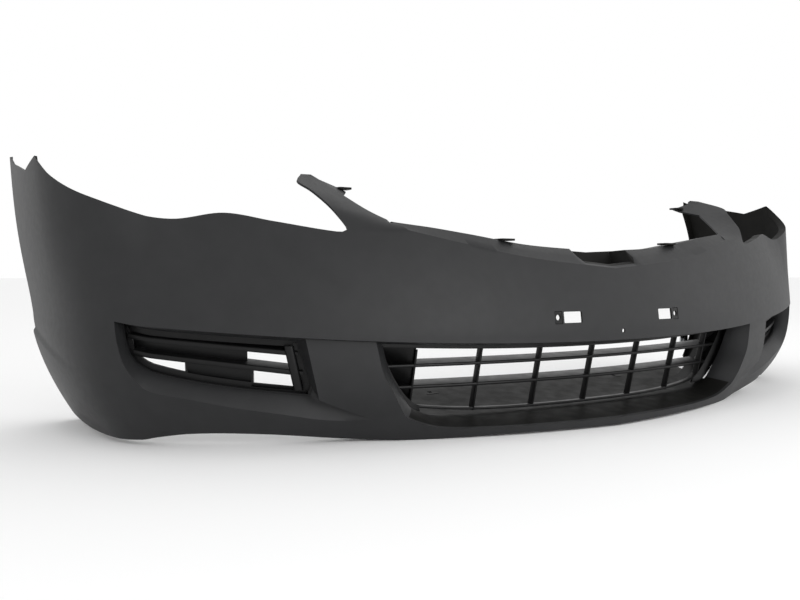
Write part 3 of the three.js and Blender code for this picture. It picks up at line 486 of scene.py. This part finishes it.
arm = between_rungs(arm_guide, 5)
patches.append((arm, 0))
tab_base = arm[15:21, 0]
tab_share = np.linspace(0.0, 1.0, len(tab_base))[:, None]
tab_tip = mix(np.array([403.0, 228.0, 230.0]), np.array([403.0, 245.0, 236.0]), tab_share)
patches.append((across(tab_tip, tab_base, 6).transpose(1, 0, 2), 0))

# Return flanges: behind the headlight edge and round the wheel arch.
lamp_line = top_line[(stations >= ARM_OUTER) & (stations <= PEAK)]
LAMP_RETURN, ARCH_RETURN = 15.0, 18.0


def fading(count, steps):
    """A column of ones that falls to 0 in a few equal steps at both ends."""
    from_start = np.arange(count)
    return np.minimum(1.0, np.minimum(from_start, from_start[::-1]) / steps)[:, None]


lamp_return = fading(len(lamp_line), 3.0) * LAMP_RETURN * np.array([-0.35, 1.0, -0.15])
patches.append((across(lamp_line, lamp_line + lamp_return, 4), BARE_AND_PAINTED_SHADE))
arch_column = np.concatenate([band[:-1, -1], upper_face[:, -1]])
arch_return = fading(len(arch_column), 4.0) * ARCH_RETURN * np.array([-1.0, 0.12, 0.0])
patches.append((across(arch_column, arch_column + arch_return, 4).transpose(1, 0, 2), BARE_AND_PAINTED_SHADE))


def moulding_mesh(name, grids, mirror=True):
    """One mesh of quads from grids of millimetre points, mirrored in x, with shared points merged."""
    points, faces, finishes, start = [], [], [], 0
    both = [*grids, *[(g[:, ::-1] * [-1.0, 1.0, 1.0], f) for g, f in grids]] if mirror else grids
    for grid, finish in both:
        ids = start + np.arange(grid.shape[0] * grid.shape[1]).reshape(grid.shape[:2])
        quads = np.stack([ids[:-1, :-1], ids[:-1, 1:], ids[1:, 1:], ids[1:, :-1]], -1).reshape(-1, 4)
        points.append(grid.reshape(-1, 3))
        faces.append(quads)
        finishes.append(np.full(len(quads), finish))
        start += ids.size
    mesh = bpy.data.meshes.new(name)
    mesh.from_pydata((np.concatenate(points) * MM + DATUM).tolist(), [], np.concatenate(faces).tolist())
    mesh.polygons.foreach_set("material_index", np.concatenate(finishes))
    work = bmesh.new()
    work.from_mesh(mesh)
    bmesh.ops.remove_doubles(work, verts=work.verts, dist=6e-5)
    bmesh.ops.dissolve_degenerate(work, edges=work.edges, dist=1e-6)
    work.to_mesh(mesh)
    work.free()
    return mesh


def new_piece(name, mesh, *finishes):
    """An object for the mesh, at the origin, with its finishes."""
    piece = bpy.data.objects.new(name, mesh)
    scene.collection.objects.link(piece)
    for finish in finishes:
        mesh.materials.append(finish)
    return piece


def moulded_finish(name, light, dark, roughness, grain, grain_size, gloss=0.5, mottle=9.0, uneven=0.06):
    """Plastic with a slightly uneven colour, roughness that varies in patches, and a fine moulded grain."""
    finish = bpy.data.materials.new(name)
    finish.use_nodes = True
    nodes, links = finish.node_tree.nodes, finish.node_tree.links
    shader = nodes["Principled BSDF"]
    shader.inputs["Specular IOR Level"].default_value = gloss
    place = nodes.new("ShaderNodeTexCoord").outputs["Object"]

    def noise(scale, detail):
        node = nodes.new("ShaderNodeTexNoise")
        node.inputs["Scale"].default_value = scale
        node.inputs["Detail"].default_value = detail
        links.new(place, node.inputs["Vector"])
        return node.outputs["Fac"]

    def spread(value, low, high):
        node = nodes.new("ShaderNodeMapRange")
        node.inputs["From Min"].default_value, node.inputs["From Max"].default_value = 0.3, 0.7
        node.inputs["To Min"].default_value, node.inputs["To Max"].default_value = low, high
        links.new(value, node.inputs["Value"])
        return node.outputs["Result"]

    shade = nodes.new("ShaderNodeMix")
    shade.data_type = "RGBA"
    shade.inputs["A"].default_value, shade.inputs["B"].default_value = (*dark, 1.0), (*light, 1.0)
    links.new(spread(noise(mottle, 5.0), 0.0, 1.0), shade.inputs["Factor"])
    links.new(shade.outputs["Result"], shader.inputs["Base Color"])
    patchy = spread(noise(mottle * 3.1, 4.0), roughness - uneven, roughness + uneven)
    links.new(patchy, shader.inputs["Roughness"])
    bump = nodes.new("ShaderNodeBump")
    bump.inputs["Distance"].default_value = grain * MM
    bump.inputs["Strength"].default_value = 0.6
    links.new(noise(1.0 / (grain_size * MM), 3.0), bump.inputs["Height"])
    links.new(bump.outputs["Normal"], shader.inputs["Normal"])
    return finish


primer = moulded_finish(
    "primer_grey", light=(0.0178, 0.0181, 0.0190), dark=(0.0150, 0.0152, 0.0160), roughness=0.50, grain=0.05,
    grain_size=2.2, gloss=0.26, mottle=30.0, uneven=0.02,
)
# Bare inside the skin, and also painted shade: the intake's floor and the pocket on the nose are darkened
# with it.
bare_plastic_and_painted_shade = moulded_finish(
    "bare_polypropylene_and_painted_shade", light=(0.0052, 0.0051, 0.0044), dark=(0.0030, 0.0029, 0.0025), roughness=0.58,
    grain=0.12, grain_size=1.6, gloss=0.12, mottle=14.0,
)
skin = new_piece("skin_moulding", moulding_mesh("skin_moulding", patches), primer, bare_plastic_and_painted_shade)
wall = skin.modifiers.new("wall", "SOLIDIFY")
wall.thickness, wall.offset, wall.use_even_offset = WALL * MM, -1.0, True
wall.material_offset, wall.thickness_clamp = 1, 1.2


def ring_solid(name, rings, closed_ends=True, turn=False):
    """One closed mesh: rings of points in millimetres joined in order, with a flat face on each end."""
    count, sides = rings.shape[:2]
    ids = np.arange(count * sides).reshape(count, sides)
    beside = np.roll(ids, -1, axis=1)
    if closed_ends:
        below, above, below_next, above_next = ids[:-1], ids[1:], beside[:-1], beside[1:]
    else:
        below, above = ids, np.roll(ids, -1, axis=0)
        below_next, above_next = beside, np.roll(beside, -1, axis=0)
    quads = np.stack([below, below_next, above_next, above], -1).reshape(-1, 4).tolist()
    ends = [ids[0, ::-1].tolist(), ids[-1].tolist()] if closed_ends else []
    mesh = bpy.data.meshes.new(name)
    mesh.from_pydata((rings.reshape(-1, 3) * MM + DATUM).tolist(), [], quads + ends)
    if turn:
        mesh.flip_normals()
    return mesh


def gathered(name, meshes):
    """One mesh that holds all the given ones, with every face turned outwards."""
    whole = bmesh.new()
    for mesh in meshes:
        whole.from_mesh(mesh)
        bpy.data.meshes.remove(mesh)
    bmesh.ops.recalc_face_normals(whole, faces=whole.faces)
    mesh = bpy.data.meshes.new(name)
    whole.to_mesh(mesh)
    whole.free()
    return mesh


def rounded_outline(wide, high, radius, steps=3):
    """A rectangle about the origin with quarter circles for corners, as points going round anticlockwise."""
    turn = np.linspace(0.0, np.pi / 2.0, steps + 1)
    corners = np.array([[1, 1], [-1, 1], [-1, -1], [1, -1]]) * (np.array([wide, high]) / 2.0 - radius)
    return np.concatenate([
        corner + radius * np.column_stack([np.cos(turn + k * np.pi / 2.0), np.sin(turn + k * np.pi / 2.0)])
        for k, corner in enumerate(corners)
    ])


def rod(start, end, radius, sides=32):
    """A cylinder between two points: a circle in the plane square to its axis, at each end."""
    axis = np.subtract(end, start) / np.linalg.norm(np.subtract(end, start))
    one = np.cross(axis, [0.3, 0.5, 0.81])
    one /= np.linalg.norm(one)
    turn = np.linspace(0.0, 2.0 * np.pi, sides, endpoint=False)[:, None]
    circle = radius * (np.cos(turn) * one + np.sin(turn) * np.cross(axis, one))
    return ring_solid("rod", np.stack([circle + start, circle + end]))


def slab(size, centre, radius=0.8, edge=0.5):
    """A block with rounded upright edges and a small chamfer round its two faces, which look along y."""
    wide, deep, high = size
    sections = [(edge, 0.0), (0.0, edge), (0.0, deep - edge), (edge, deep)]
    rings = []
    for shrink, y in sections:
        outline = rounded_outline(wide - 2 * shrink, high - 2 * shrink, max(radius - shrink, 0.1))
        rings.append(np.column_stack([outline[:, 0], np.full(len(outline), y - deep / 2.0), outline[:, 1]]))
    return ring_solid("slab", np.stack(rings) + centre)


def mirrored(mesh):
    """The same mesh turned into its own mirror image in x, its faces still outwards."""
    points = np.empty(len(mesh.vertices) * 3)
    mesh.vertices.foreach_get("co", points)
    points[0::3] *= -1.0
    mesh.vertices.foreach_set("co", points)
    mesh.flip_normals()
    return mesh


def both_sides(make, *args):
    """The mesh that `make` gives at +x and its mirror at -x."""
    return [make(*args), mirrored(make(*args))]


def settled(piece):
    """Bakes the piece's modifiers into its mesh."""
    seen = piece.evaluated_get(bpy.context.evaluated_depsgraph_get())
    baked = bpy.data.meshes.new_from_object(seen)
    piece.modifiers.clear()
    piece.data = baked


def combined(piece, mesh, operation, finish_index=BARE_AND_PAINTED_SHADE):
    """Joins a mesh of separate solids to the piece, or cuts it away, and bakes the result."""
    mesh.polygons.foreach_set("material_index", np.full(len(mesh.polygons), finish_index))
    for finish in piece.data.materials:
        mesh.materials.append(finish)
    tool = bpy.data.objects.new("tool", mesh)
    scene.collection.objects.link(tool)
    change = piece.modifiers.new("change", "BOOLEAN")
    change.operation, change.solver, change.object = operation, "MANIFOLD", tool
    settled(piece)
    bpy.data.objects.remove(tool)


# Flat pads and ears where the skin is fastened, then the holes in them and for the number plate.
PLATE_HOLE_X, PLATE_SLOT_X, PLATE_HEIGHT = 135.0, 106.5, 25.0
PLATE_NUT, CLEARANCE = (14.0, 20.0), 0.35
ear_places = [face_point(ARCH, z) + [-30.0, 2.0, 0.0] for z in (-90.0, 20.0)]
EAR_HOLE_INSET = 5.3
clip_pads = [  # size, centre, hole radius and the hole's x
    ((28.0, 24.0, WALL), (190.0, 78.0, 150.0), 4.0, 190.0),
    ((24.0, 22.0, WALL), (404.0, 237.0, 236.0), 3.4, 400.0),
    ((26.0, 26.0, 9.0), (228.0, 246.0, -124.0), 4.5, 228.0),
    ((26.0, 26.0, 9.0), (400.0, 262.0, -124.0), 4.5, 400.0),
]
pads, holes = [], both_sides(slab, (36.0, 60.0, 18.0), (PLATE_SLOT_X, 10.0, PLATE_HEIGHT), 1.6)
nut_hole = (PLATE_NUT[0] + 2 * CLEARANCE, 60.0, PLATE_NUT[1] + 2 * CLEARANCE)
holes += both_sides(slab, nut_hole, (PLATE_HOLE_X, 10.0, PLATE_HEIGHT), 1.0)
holes.append(rod((0.0, -20.0, 0.0), (0.0, 40.0, 0.0), 3.4))
for place in ear_places:
    pads += both_sides(slab, (28.0, WALL, 28.0), tuple(place), 3.0)
    pads += both_sides(slab, (7.0, WALL, 24.0), tuple(place + [9.5, 1.0, 0.0]), 1.0)
    hole = place - [EAR_HOLE_INSET, 0.0, 0.0]
    holes += both_sides(rod, hole - [0.0, 9.0, 0.0], hole + [0.0, 9.0, 0.0], 3.4)


def lying_pad(size, centre, radius=4.0):
    """A pad whose flat faces look up and down, with rounded corners in plan."""
    outline = rounded_outline(size[0], size[1], radius)
    flat = np.column_stack([outline, np.zeros(len(outline))])
    return ring_solid("pad", np.stack([flat - [0, 0, size[2] / 2], flat + [0, 0, size[2] / 2]]) + centre)


for size, centre, radius, hole_x in clip_pads:
    pads += both_sides(lying_pad, size, centre)
    low_end, high_end = [(hole_x, centre[1], centre[2] + dz) for dz in (-30.0, 30.0)]
    holes += both_sides(rod, low_end, high_end, radius)
settled(skin)
combined(skin, gathered("pads", pads), "UNION")
combined(skin, gathered("holes", holes), "DIFFERENCE")
rounding = skin.modifiers.new("rounding", "BEVEL")
rounding.width, rounding.segments, rounding.limit_method = 1.1 * MM, 2, "ANGLE"
rounding.angle_limit, rounding.harden_normals = np.radians(38.0), True
skin.data.shade_smooth()
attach(skin, "root")
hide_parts("bumper_skin")

# ------------------------------------------------------------------ lower grille
# A separate moulding in black polypropylene: five upright bars and two deep slats in a frame, closed pockets
# at the ends, and a flange along the top that six screws hold to the back of the skin.
BAR_PITCH, CELL_END, GRILLE_TOP, SLAT_DEPTH = 114.5, 340.0, -24.0, 42.0
SLAT_THICK, SLAT_RISE, BAR, SHEET_THICK = 3.4, 5.0, (4.2, 13.0), 3.0
INSERT_CREASE = np.radians(40.0)  # where faces meet more sharply than this, the edge shows
grille_half = smooth_curve([[-120, 325], [-101, 350], [-72, 372], [-50, 385], [-24, 397]])


def grille_front(x, z):
    """The grille's front: a parabola in plan that leans back as it goes down."""
    return 66.0 + x * x / 3010.0 + 0.24 * (-24.0 - z)


def rim_height(x):
    """The intake rim's top, 8 mm under the lip."""
    return lip_height(np.abs(x) * INTAKE_HALF / INTAKE_RIM_HALF) - 8.0


def rim_front(x):
    """How far back the intake rim's top lies."""
    return intake_rim(np.asarray(x, float), rim_height(x))[..., 1]


def upright(x, thick, depth, bottom):
    """A bar whose rounded section, in plan, is carried up the grille's front."""
    z = np.linspace(bottom, GRILLE_TOP, 9)[:, None]
    section = rounded_outline(thick, depth, thick * 0.45)
    y = grille_front(x, z) + depth / 2.0 + section[:, 1]
    return ring_solid("upright", np.stack([x + section[:, 0] + 0 * z, y, z + 0 * y], -1), turn=True)


def slat(height):
    """A louvre across the car: a rounded section that rises from front to rear and is fatter in front."""
    half = float(grille_half(height)) - 1.0
    x = np.linspace(-half, half, 61)[:, None]
    section = rounded_outline(SLAT_DEPTH, SLAT_THICK, 1.6)
    depth = section[:, 0] + SLAT_DEPTH / 2.0
    nose = 1.0 + 0.7 * (1.0 - smoothstep(0.0, 9.0, depth))
    z = height + section[:, 1] * nose + SLAT_RISE * depth / SLAT_DEPTH
    y = grille_front(x, height) + depth
    return ring_solid("slat", np.stack([x + 0 * y, y, z + 0 * y], -1), turn=True)


def rail(half, front, depth, low, high):
    """A strip across the car with a rectangular section, its edges slightly rounded."""
    x = np.linspace(-half, half, 61)[:, None]
    section = rounded_outline(1.0, 1.0, 0.12)
    y = front(x) + depth * (section[:, 0] + 0.5)
    z = mix(low(x), high(x), section[:, 1] + 0.5)
    return ring_solid("rail", np.stack([x + 0 * y, y, z + 0 * y], -1), turn=True)


def pocket_back(low, high):
    """The closed end of a cell: a plate level with the bar at its inner edge, falling back lower down."""
    z = np.linspace(low, high, 10)[:, None]
    across_cell = np.array([0.0, 0.12, 0.3, 0.55, 0.8, 1.0])
    outer = grille_half(z) - 1.0
    inner = np.minimum(CELL_END - 1.0, outer - 3.0)
    x = mix(inner, outer, across_cell)
    fall = 5.0 + 30.0 * ((high - z) / (high - low)) ** 1.6 * across_cell
    y = grille_front(x, z) + fall
    rings = np.concatenate([np.stack([x, y], -1), np.stack([x, y + 3.0], -1)[:, ::-1]], 1)
    return ring_solid("pocket", np.concatenate([rings, z[..., None] + 0 * rings[..., :1]], -1), turn=True)


def pocket_end():
    """The wall that closes the end of the pockets, along the edge of the grille."""
    z = np.linspace(-118.0, GRILLE_TOP, 12)[:, None]
    outer = grille_half(z)
    x = np.concatenate([outer - 3.0, outer, outer, outer - 3.0], 1)
    y = grille_front(outer, z) + np.array([0.0, 0.0, SLAT_DEPTH, SLAT_DEPTH])
    return ring_solid("end", np.stack([x, y, z + 0 * y], -1), turn=True)


def side_flap():
    """A strip behind the skin's side flange, which closes the slit beside the pocket."""
    z = np.linspace(-126.0, GRILLE_TOP + 6.0, 14)[:, None]
    inner, outer = grille_half(z) - 3.0, grille_half(z) + 20.0
    near, far = grille_front(inner, z) + 0.5, intake_rim(outer, z)[..., 1] + 5.6
    x = np.concatenate([inner, outer, outer, inner], 1)
    y = np.concatenate([near, far, far + 2.6, near + 3.0], 1)
    return ring_solid("flap", np.stack([x, y, z + 0 * y], -1), turn=True)


grille_solids = [upright(n * BAR_PITCH, *BAR, -130.0) for n in range(-2, 3)]
grille_solids += both_sides(upright, CELL_END, *BAR, -112.0)
grille_solids += [slat(-50.0), slat(-85.0)]
grille_solids.append(rail(
    398.0, lambda x: grille_front(x, GRILLE_TOP), 13.0,
    lambda x: rim_height(x) - 6.5, lambda x: rim_height(x) - 2.5,
))
grille_solids.append(rail(
    408.0, lambda x: rim_front(x) + 6.6, 2.6, lambda x: rim_height(x) - 6.0, lambda x: rim_height(x) + 12.0
))
grille_solids.append(rail(
    324.0, lambda x: grille_front(x, -128.0), 10.0,
    lambda x: 12.0 * (x / 325.0) ** 4 - 132.0, lambda x: 12.0 * (x / 325.0) ** 4 - 127.5,
))
for low_end, high_end in ((-118.0, -84.0), (-84.0, -48.0), (-48.0, float(rim_height(365.0)) - 4.0)):
    grille_solids += both_sides(pocket_back, low_end, high_end)
grille_solids += both_sides(pocket_end) + both_sides(side_flap)
insert_black = moulded_finish(
    "insert_black", light=(0.0060, 0.0060, 0.0062), dark=(0.0038, 0.0038, 0.0040), roughness=0.40, grain=0.08,
    grain_size=1.2, gloss=0.22, mottle=16.0,
)
grille = new_piece("grille_moulding", gathered("grille_moulding", grille_solids), insert_black)
grille.data.shade_smooth()
grille.data.set_sharp_from_angle(angle=INSERT_CREASE)
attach(grille, "root")
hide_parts("lower_grille")

# ------------------------------------------------------------------ fog-lamp covers
# A louvred blanking cover in each recess, moulded black: a ring that fits the rim with a flange behind it,
# two slats, plates that close most of the slots, and a blanking box at the bottom. Three screws hold each.
COVER_BACK, LOUVRE_FRONT, LOUVRE_THICK, PLATE_DEPTH = 60.0, 31.0, 4.0, 46.0
INBOARD_END, OUTBOARD_END = 530.0, 791.0  # the stations where the cover meets its recess
lower_rim = smooth_curve(
    [[522, -83], [570, -78], [623, -71], [683, -60], [728, -48], [757, -37], [776, -26], [790, -9]]
)


def offset_ring(outline, distance):
    """The outline moved inwards by a distance: each point along the mean of its two edges' normals."""
    way = outline - np.roll(outline, 1, axis=0)
    way /= np.linalg.norm(way, axis=1, keepdims=True)
    mean = way + np.roll(way, -1, axis=0)
    mean /= np.linalg.norm(mean, axis=1, keepdims=True)
    reach = distance / np.maximum((mean * way).sum(1, keepdims=True), 0.5)
    return outline + reach * np.column_stack([mean[:, 1], -mean[:, 0]])


keep = np.append(True, np.linalg.norm(np.diff(rim_outline, axis=0), axis=1) > 1.2)
cover_rim = rim_outline[keep]


def cover_ring(steps):
    """A closed ring round the rim: each step is how far inside the rim it lies and how deep."""
    rings = []
    for inward, depth in steps:
        outline = offset_ring(cover_rim, inward) if abs(inward) > 0.01 else cover_rim
        rings.append(face_point(outline[:, 0], outline[:, 1], depth, True))
    return ring_solid("ring", np.stack(rings), closed_ends=False)


def along_skin(start, stop, line, thick, near, far, radius, parts=30, nose=0.0, rise=0.0):
    """A bar that follows the skin between two stations, on a line of heights, rising from front to rear."""
    s = np.linspace(start, stop, parts)[:, None]
    section = rounded_outline(far - near, thick, radius)
    depth = section[:, 0] + (near + far) / 2.0
    fat = 1.0 + nose * (1.0 - smoothstep(near, near + 8.0, depth))
    z = line(s) + section[:, 1] * fat + rise * (depth - near) / (far - near)
    return ring_solid("bar", face_point(s + 0 * depth, z, depth + 0 * s, True))


def closing_plate(start, stop, low, high, near, thick, parts=24):
    """A plate between two lines of heights, hollowed slightly so that it catches the light along its top."""
    s = np.linspace(start, stop, parts)[:, None, None]
    v = np.linspace(0.0, 1.0, 8)[:, None]
    lower, upper = low(s), high(s)
    depth = near + 6.0 * (1.0 - v) ** 2 + np.array([0.0, thick])
    z = mix(lower, upper, v) + 0.0 * depth
    grid = face_point(s + 0.0 * z, z, depth + 0.0 * z, True)
    front, back = grid[:, :, 0], grid[:, ::-1, 1]
    return ring_solid("plate", np.concatenate([front, back], 1))


def slat_one(s):
    """The upper slat rises in a straight line over the stations."""
    return mix(-22.0, 0.0, (s - 558.0) / 186.0)


def slat_two(s):
    """The lower slat rises a little more steeply."""
    return mix(-52.0, -25.0, (s - 547.0) / 186.0)


def cover_top(s):
    """The top of the cover, 9 mm under the ledge."""
    return ledge_height(s) - 9.0


def under_block(s):
    """The underside of the blanking box, 4 mm over the rim."""
    return lower_rim(s) + 4.0


BLOCK = (605.0, 694.0)
fog_ears = [(600.0, 1.0), (720.0, 1.0), (640.0, -1.0)]


def cover_solids():
    """Every part of one cover, as separate closed solids that run into each other."""
    louvre = (LOUVRE_THICK, LOUVRE_FRONT, COVER_BACK, 1.7)
    solids = [
        cover_ring([(0.6, 27.0), (0.6, 36.0), (-9.0, 37.0), (-9.0, 39.4), (0.6, 39.4), (0.6, COVER_BACK),
                    (4.4, COVER_BACK), (4.4, 27.5), (3.6, 26.4), (1.4, 26.4)]),
        along_skin(541.0, 788.0, slat_one, *louvre, nose=1.1, rise=8.0),
        along_skin(534.0, 776.0, slat_two, *louvre, nose=1.1, rise=9.0),
        closing_plate(546.0, OUTBOARD_END, slat_one, cover_top, PLATE_DEPTH, SHEET_THICK),
        closing_plate(612.0, 788.0, slat_two, slat_one, PLATE_DEPTH, SHEET_THICK),
        closing_plate(
            INBOARD_END, 548.0, lambda s: lower_rim(s) + 1.0, cover_top, 34.0, SHEET_THICK, parts=6
        ),
        closing_plate(690.0, 776.0, lower_rim, lambda s: lower_rim(s) + 9.0, 40.0, SHEET_THICK, parts=10),
        closing_plate(534.0, 606.0, lower_rim, lambda s: lower_rim(s) + 5.0, 34.0, SHEET_THICK, parts=10),
        closing_plate(*BLOCK, under_block, slat_two, 36.0, SHEET_THICK),
    ]
    for s in BLOCK:
        v = np.linspace(0.0, 1.0, 6)[:, None]
        section = np.array([[-1.5, 37.0], [1.5, 37.0], [1.5, COVER_BACK], [-1.5, COVER_BACK]])
        z = mix(under_block(s), slat_two(s), v)
        side_wall = face_point(s + section[:, 0] + 0 * z, z + 0 * section[:, 0], section[:, 1] + 0 * z, True)
        solids.append(ring_solid("side", side_wall, turn=True))
    for s, up in fog_ears:
        z = ledge_height(s) - 5.0 if up > 0 else float(lower_rim(s))
        middle = z + 3.0 if up > 0 else z - 2.5
        solids.append(along_skin(s - 9.0, s + 9.0, lambda v: middle + 0 * v, 18.0, 38.5, 41.5, 1.2, parts=4))
    v = np.linspace(0.0, 1.0, 12)[:, None]
    section = rounded_outline(14.0, 10.0, 4.0)
    s = mix(554.0, 540.0, v) + section[:, 0]
    z = mix(-12.0, -78.0, v)
    solids.append(ring_solid("rib", face_point(s, z + 0 * s, 32.0 + section[:, 1] + 0 * s, True), turn=True))
    return solids


for side, sign in (("right", 1.0), ("left", -1.0)):
    mesh = gathered(f"fog_cover_moulding_{side}", cover_solids())
    if sign < 0.0:
        mirrored(mesh)
    cover = new_piece(f"fog_cover_moulding_{side}", mesh, insert_black)
    cover.data.shade_smooth()
    cover.data.set_sharp_from_angle(angle=INSERT_CREASE)
    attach(cover, "root")
    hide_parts(f"fog_cover_{side}")

# ------------------------------------------------------------------ number-plate nuts
# A square nut in black nylon beside each plate slot, pushed into its hole: a thin block level with the skin,
# a wider collar behind it, and a round hole through both for the plate's screw.
NUT_BORE, NUT_DEPTH = 4.8, 4.6


def nut_solid(x, wide, high, near, far):
    """A rounded square that follows the skin's slope, from one depth to another."""
    rings = []
    for shrink, depth in ((0.4, near), (0.0, near + 0.4), (0.0, far - 0.3), (0.3, far)):
        outline = rounded_outline(wide - 2 * shrink, high - 2 * shrink, 1.4)
        rings.append(face_point(x + outline[:, 0], PLATE_HEIGHT + outline[:, 1], depth))
    return ring_solid("nut", np.stack(rings))


for side, sign in (("right", 1.0), ("left", -1.0)):
    nut_parts = [
        nut_solid(PLATE_HOLE_X, *PLATE_NUT, 0.4, 3.6),
        nut_solid(PLATE_HOLE_X, PLATE_NUT[0] + 4.0, PLATE_NUT[1] + 4.0, 3.3, NUT_DEPTH),
    ]
    solid = gathered(f"plate_nut_block_{side}", nut_parts)
    nut = new_piece(f"plate_nut_block_{side}", solid, insert_black)
    bore = rod((PLATE_HOLE_X, -20.0, PLATE_HEIGHT), (PLATE_HOLE_X, 40.0, PLATE_HEIGHT), NUT_BORE, 40)
    combined(nut, gathered("bore", [bore]), "DIFFERENCE", 0)
    if sign < 0.0:
        mirrored(nut.data)
    nut.data.shade_smooth()
    nut.data.set_sharp_from_angle(angle=np.radians(35.0))
    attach(nut, "root")
    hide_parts(f"plate_nut_{side}")

# ------------------------------------------------------------------ screws
# Zinc-plated self-tapping screws, cold-headed with a hexagon on a washer flange: six hold the grille's top
# flange, and three hold each fog-lamp cover. The thread is rolled.
SCREW_LENGTH, SHANK, THREAD_ROOT, WASHER, HEX_FLAT, THREAD_PITCH = 13.0, 2.1, 1.7, 5.5, 3.6, 1.4


def screw_mesh(name, seat, along):
    """Rings about the screw's axis: a point, a thread, a washer with a rounded rim, then a hexagon."""
    along = np.asarray(along, float) / np.linalg.norm(along)
    one = np.cross(along, [0.0, 0.0, 1.0])
    one /= np.linalg.norm(one)
    two = np.cross(along, one)
    turn = np.linspace(0.0, 2.0 * np.pi, 36, endpoint=False)
    hexagon = HEX_FLAT / np.cos((turn + np.pi / 6.0) % (np.pi / 3.0) - np.pi / 6.0)
    crests = np.arange(-11.0, -1.0, THREAD_PITCH)
    root_and_crest = np.tile([THREAD_ROOT, SHANK], len(crests))
    up_the_thread = np.repeat(crests, 2) + np.tile([0.0, THREAD_PITCH / 2.0], len(crests))
    thread = np.column_stack([root_and_crest, up_the_thread])
    washer = [
        (SHANK, -0.6), (SHANK, 0.0), (WASHER - 0.2, 0.0), (WASHER, 0.3), (WASHER, 0.8),
        (4.9, 1.2), (4.2, 1.35),
    ]
    profile = np.vstack([[(0.4, -SCREW_LENGTH), (1.1, 1.1 - SCREW_LENGTH)], thread, washer])
    radii = np.concatenate([np.tile(profile[:, :1], 36), [hexagon, hexagon, hexagon - 0.45, hexagon - 1.5]])
    height = np.append(profile[:, 1], [1.35, 3.1, 3.5, 3.3])[:, None, None]
    outwards = np.cos(turn)[:, None] * one + np.sin(turn)[:, None] * two
    rings = radii[..., None] * outwards + height * along + seat
    return gathered(name, [ring_solid("screw", rings)])


zinc = moulded_finish(
    "zinc_plate", light=(0.52, 0.53, 0.54), dark=(0.36, 0.37, 0.38), roughness=0.34, grain=0.02,
    grain_size=0.6, mottle=220.0,
)
zinc.node_tree.nodes["Principled BSDF"].inputs["Metallic"].default_value = 1.0
screws = []
for number, x in enumerate((-330.0, -200.0, -70.0, 70.0, 200.0, 330.0), 1):
    height = float(rim_height(x)) + 6.5
    seat = np.array([x, float(rim_front(abs(x) + WASHER)) + 9.55, height])
    screws.append((f"grille_screw_{number}", seat, np.array([0.0, 1.0, 0.0])))
for number, (s, up) in enumerate(fog_ears, 1):
    z = float(ledge_height(s)) + 2.0 if up > 0 else float(lower_rim(s)) - 7.0
    seat = face_point(s, z, 42.6 if up > 0 else 43.6, True)
    along = seat - face_point(s, z, 28.0, True)
    screws.append((f"fog_screw_right_{number}", seat, along))
    screws.append((f"fog_screw_left_{number}", seat * [-1.0, 1.0, 1.0], along * [-1.0, 1.0, 1.0]))
for node, seat, along in screws:
    screw = new_piece(f"{node}_hex", screw_mesh(f"{node}_hex", seat, along), zinc)
    screw.data.shade_smooth()
    screw.data.set_sharp_from_angle(angle=np.radians(30.0))
    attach(screw, "root")
    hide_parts(node)

# ------------------------------------------------------------------ spring nuts
# A strip of spring steel folded over each wheel-arch ear, with a lead-in lip and a drawn barrel in front that
# takes the screw of the wheel-arch liner.
NUT_INSET, NUT_REACH, NUT_HIGH, SHEET, BARREL, BARREL_HOLE = 6.3, 17.0, 14.0, 1.0, 4.2, 2.6


def spring_nut_meshes(place):
    """The folded strip (its outline carried up in z) and the barrel (a tube's section turned about y)."""
    leg, half = WALL / 2.0 + 0.5, NUT_REACH / 2.0
    bend = np.linspace(np.pi / 2.0, 3.0 * np.pi / 2.0, 9)
    fold = leg * np.column_stack([0.5 * np.cos(bend), np.sin(bend)])
    path = np.vstack([[(half, leg), (0.0, leg)], fold + [-half + 0.5, 0.0], [(0.0, -leg), (half, -leg)]])
    scale = (leg + SHEET) / leg
    outer = np.vstack([path[:2] + [0, SHEET], fold * scale + [-half + 0.5, 0.0], path[-2:] - [0, SHEET]])
    outline = np.vstack([path, outer[::-1]])
    rings = [np.column_stack([outline, np.full(len(outline), z)]) for z in (-NUT_HIGH / 2.0, NUT_HIGH / 2.0)]
    turn = np.linspace(0.0, 2.0 * np.pi, 32, endpoint=False)[:, None]
    section = np.array([
        [BARREL_HOLE, -0.5], [BARREL, -0.5], [BARREL, -4.7], [BARREL - 0.4, -5.0], [BARREL_HOLE, -5.0]
    ])
    barrel = np.stack([
        1.0 + section[:, 0] * np.cos(turn), section[:, 1] - leg + 0 * turn, section[:, 0] * np.sin(turn)
    ], -1)
    strip = ring_solid("strip", np.stack(rings) + place)
    return [strip, ring_solid("barrel", barrel + place, closed_ends=False)]


for number, ear in enumerate(ear_places, 1):
    for side, sign in (("right", 1.0), ("left", -1.0)):
        place = ear - [NUT_INSET, 0.0, 0.0]
        name = f"spring_nut_{side}_{number}"
        clip = new_piece(f"{name}_clip", gathered(f"{name}_clip", spring_nut_meshes(place)), zinc)
        hole = rod(place + [1.0, -12.0, 0.0], place + [1.0, 12.0, 0.0], BARREL_HOLE)
        combined(clip, gathered("hole", [hole]), "DIFFERENCE", 0)
        if sign < 0.0:
            mirrored(clip.data)
        clip.data.shade_smooth()
        clip.data.set_sharp_from_angle(angle=np.radians(35.0))
        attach(clip, "root")
        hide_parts(name)
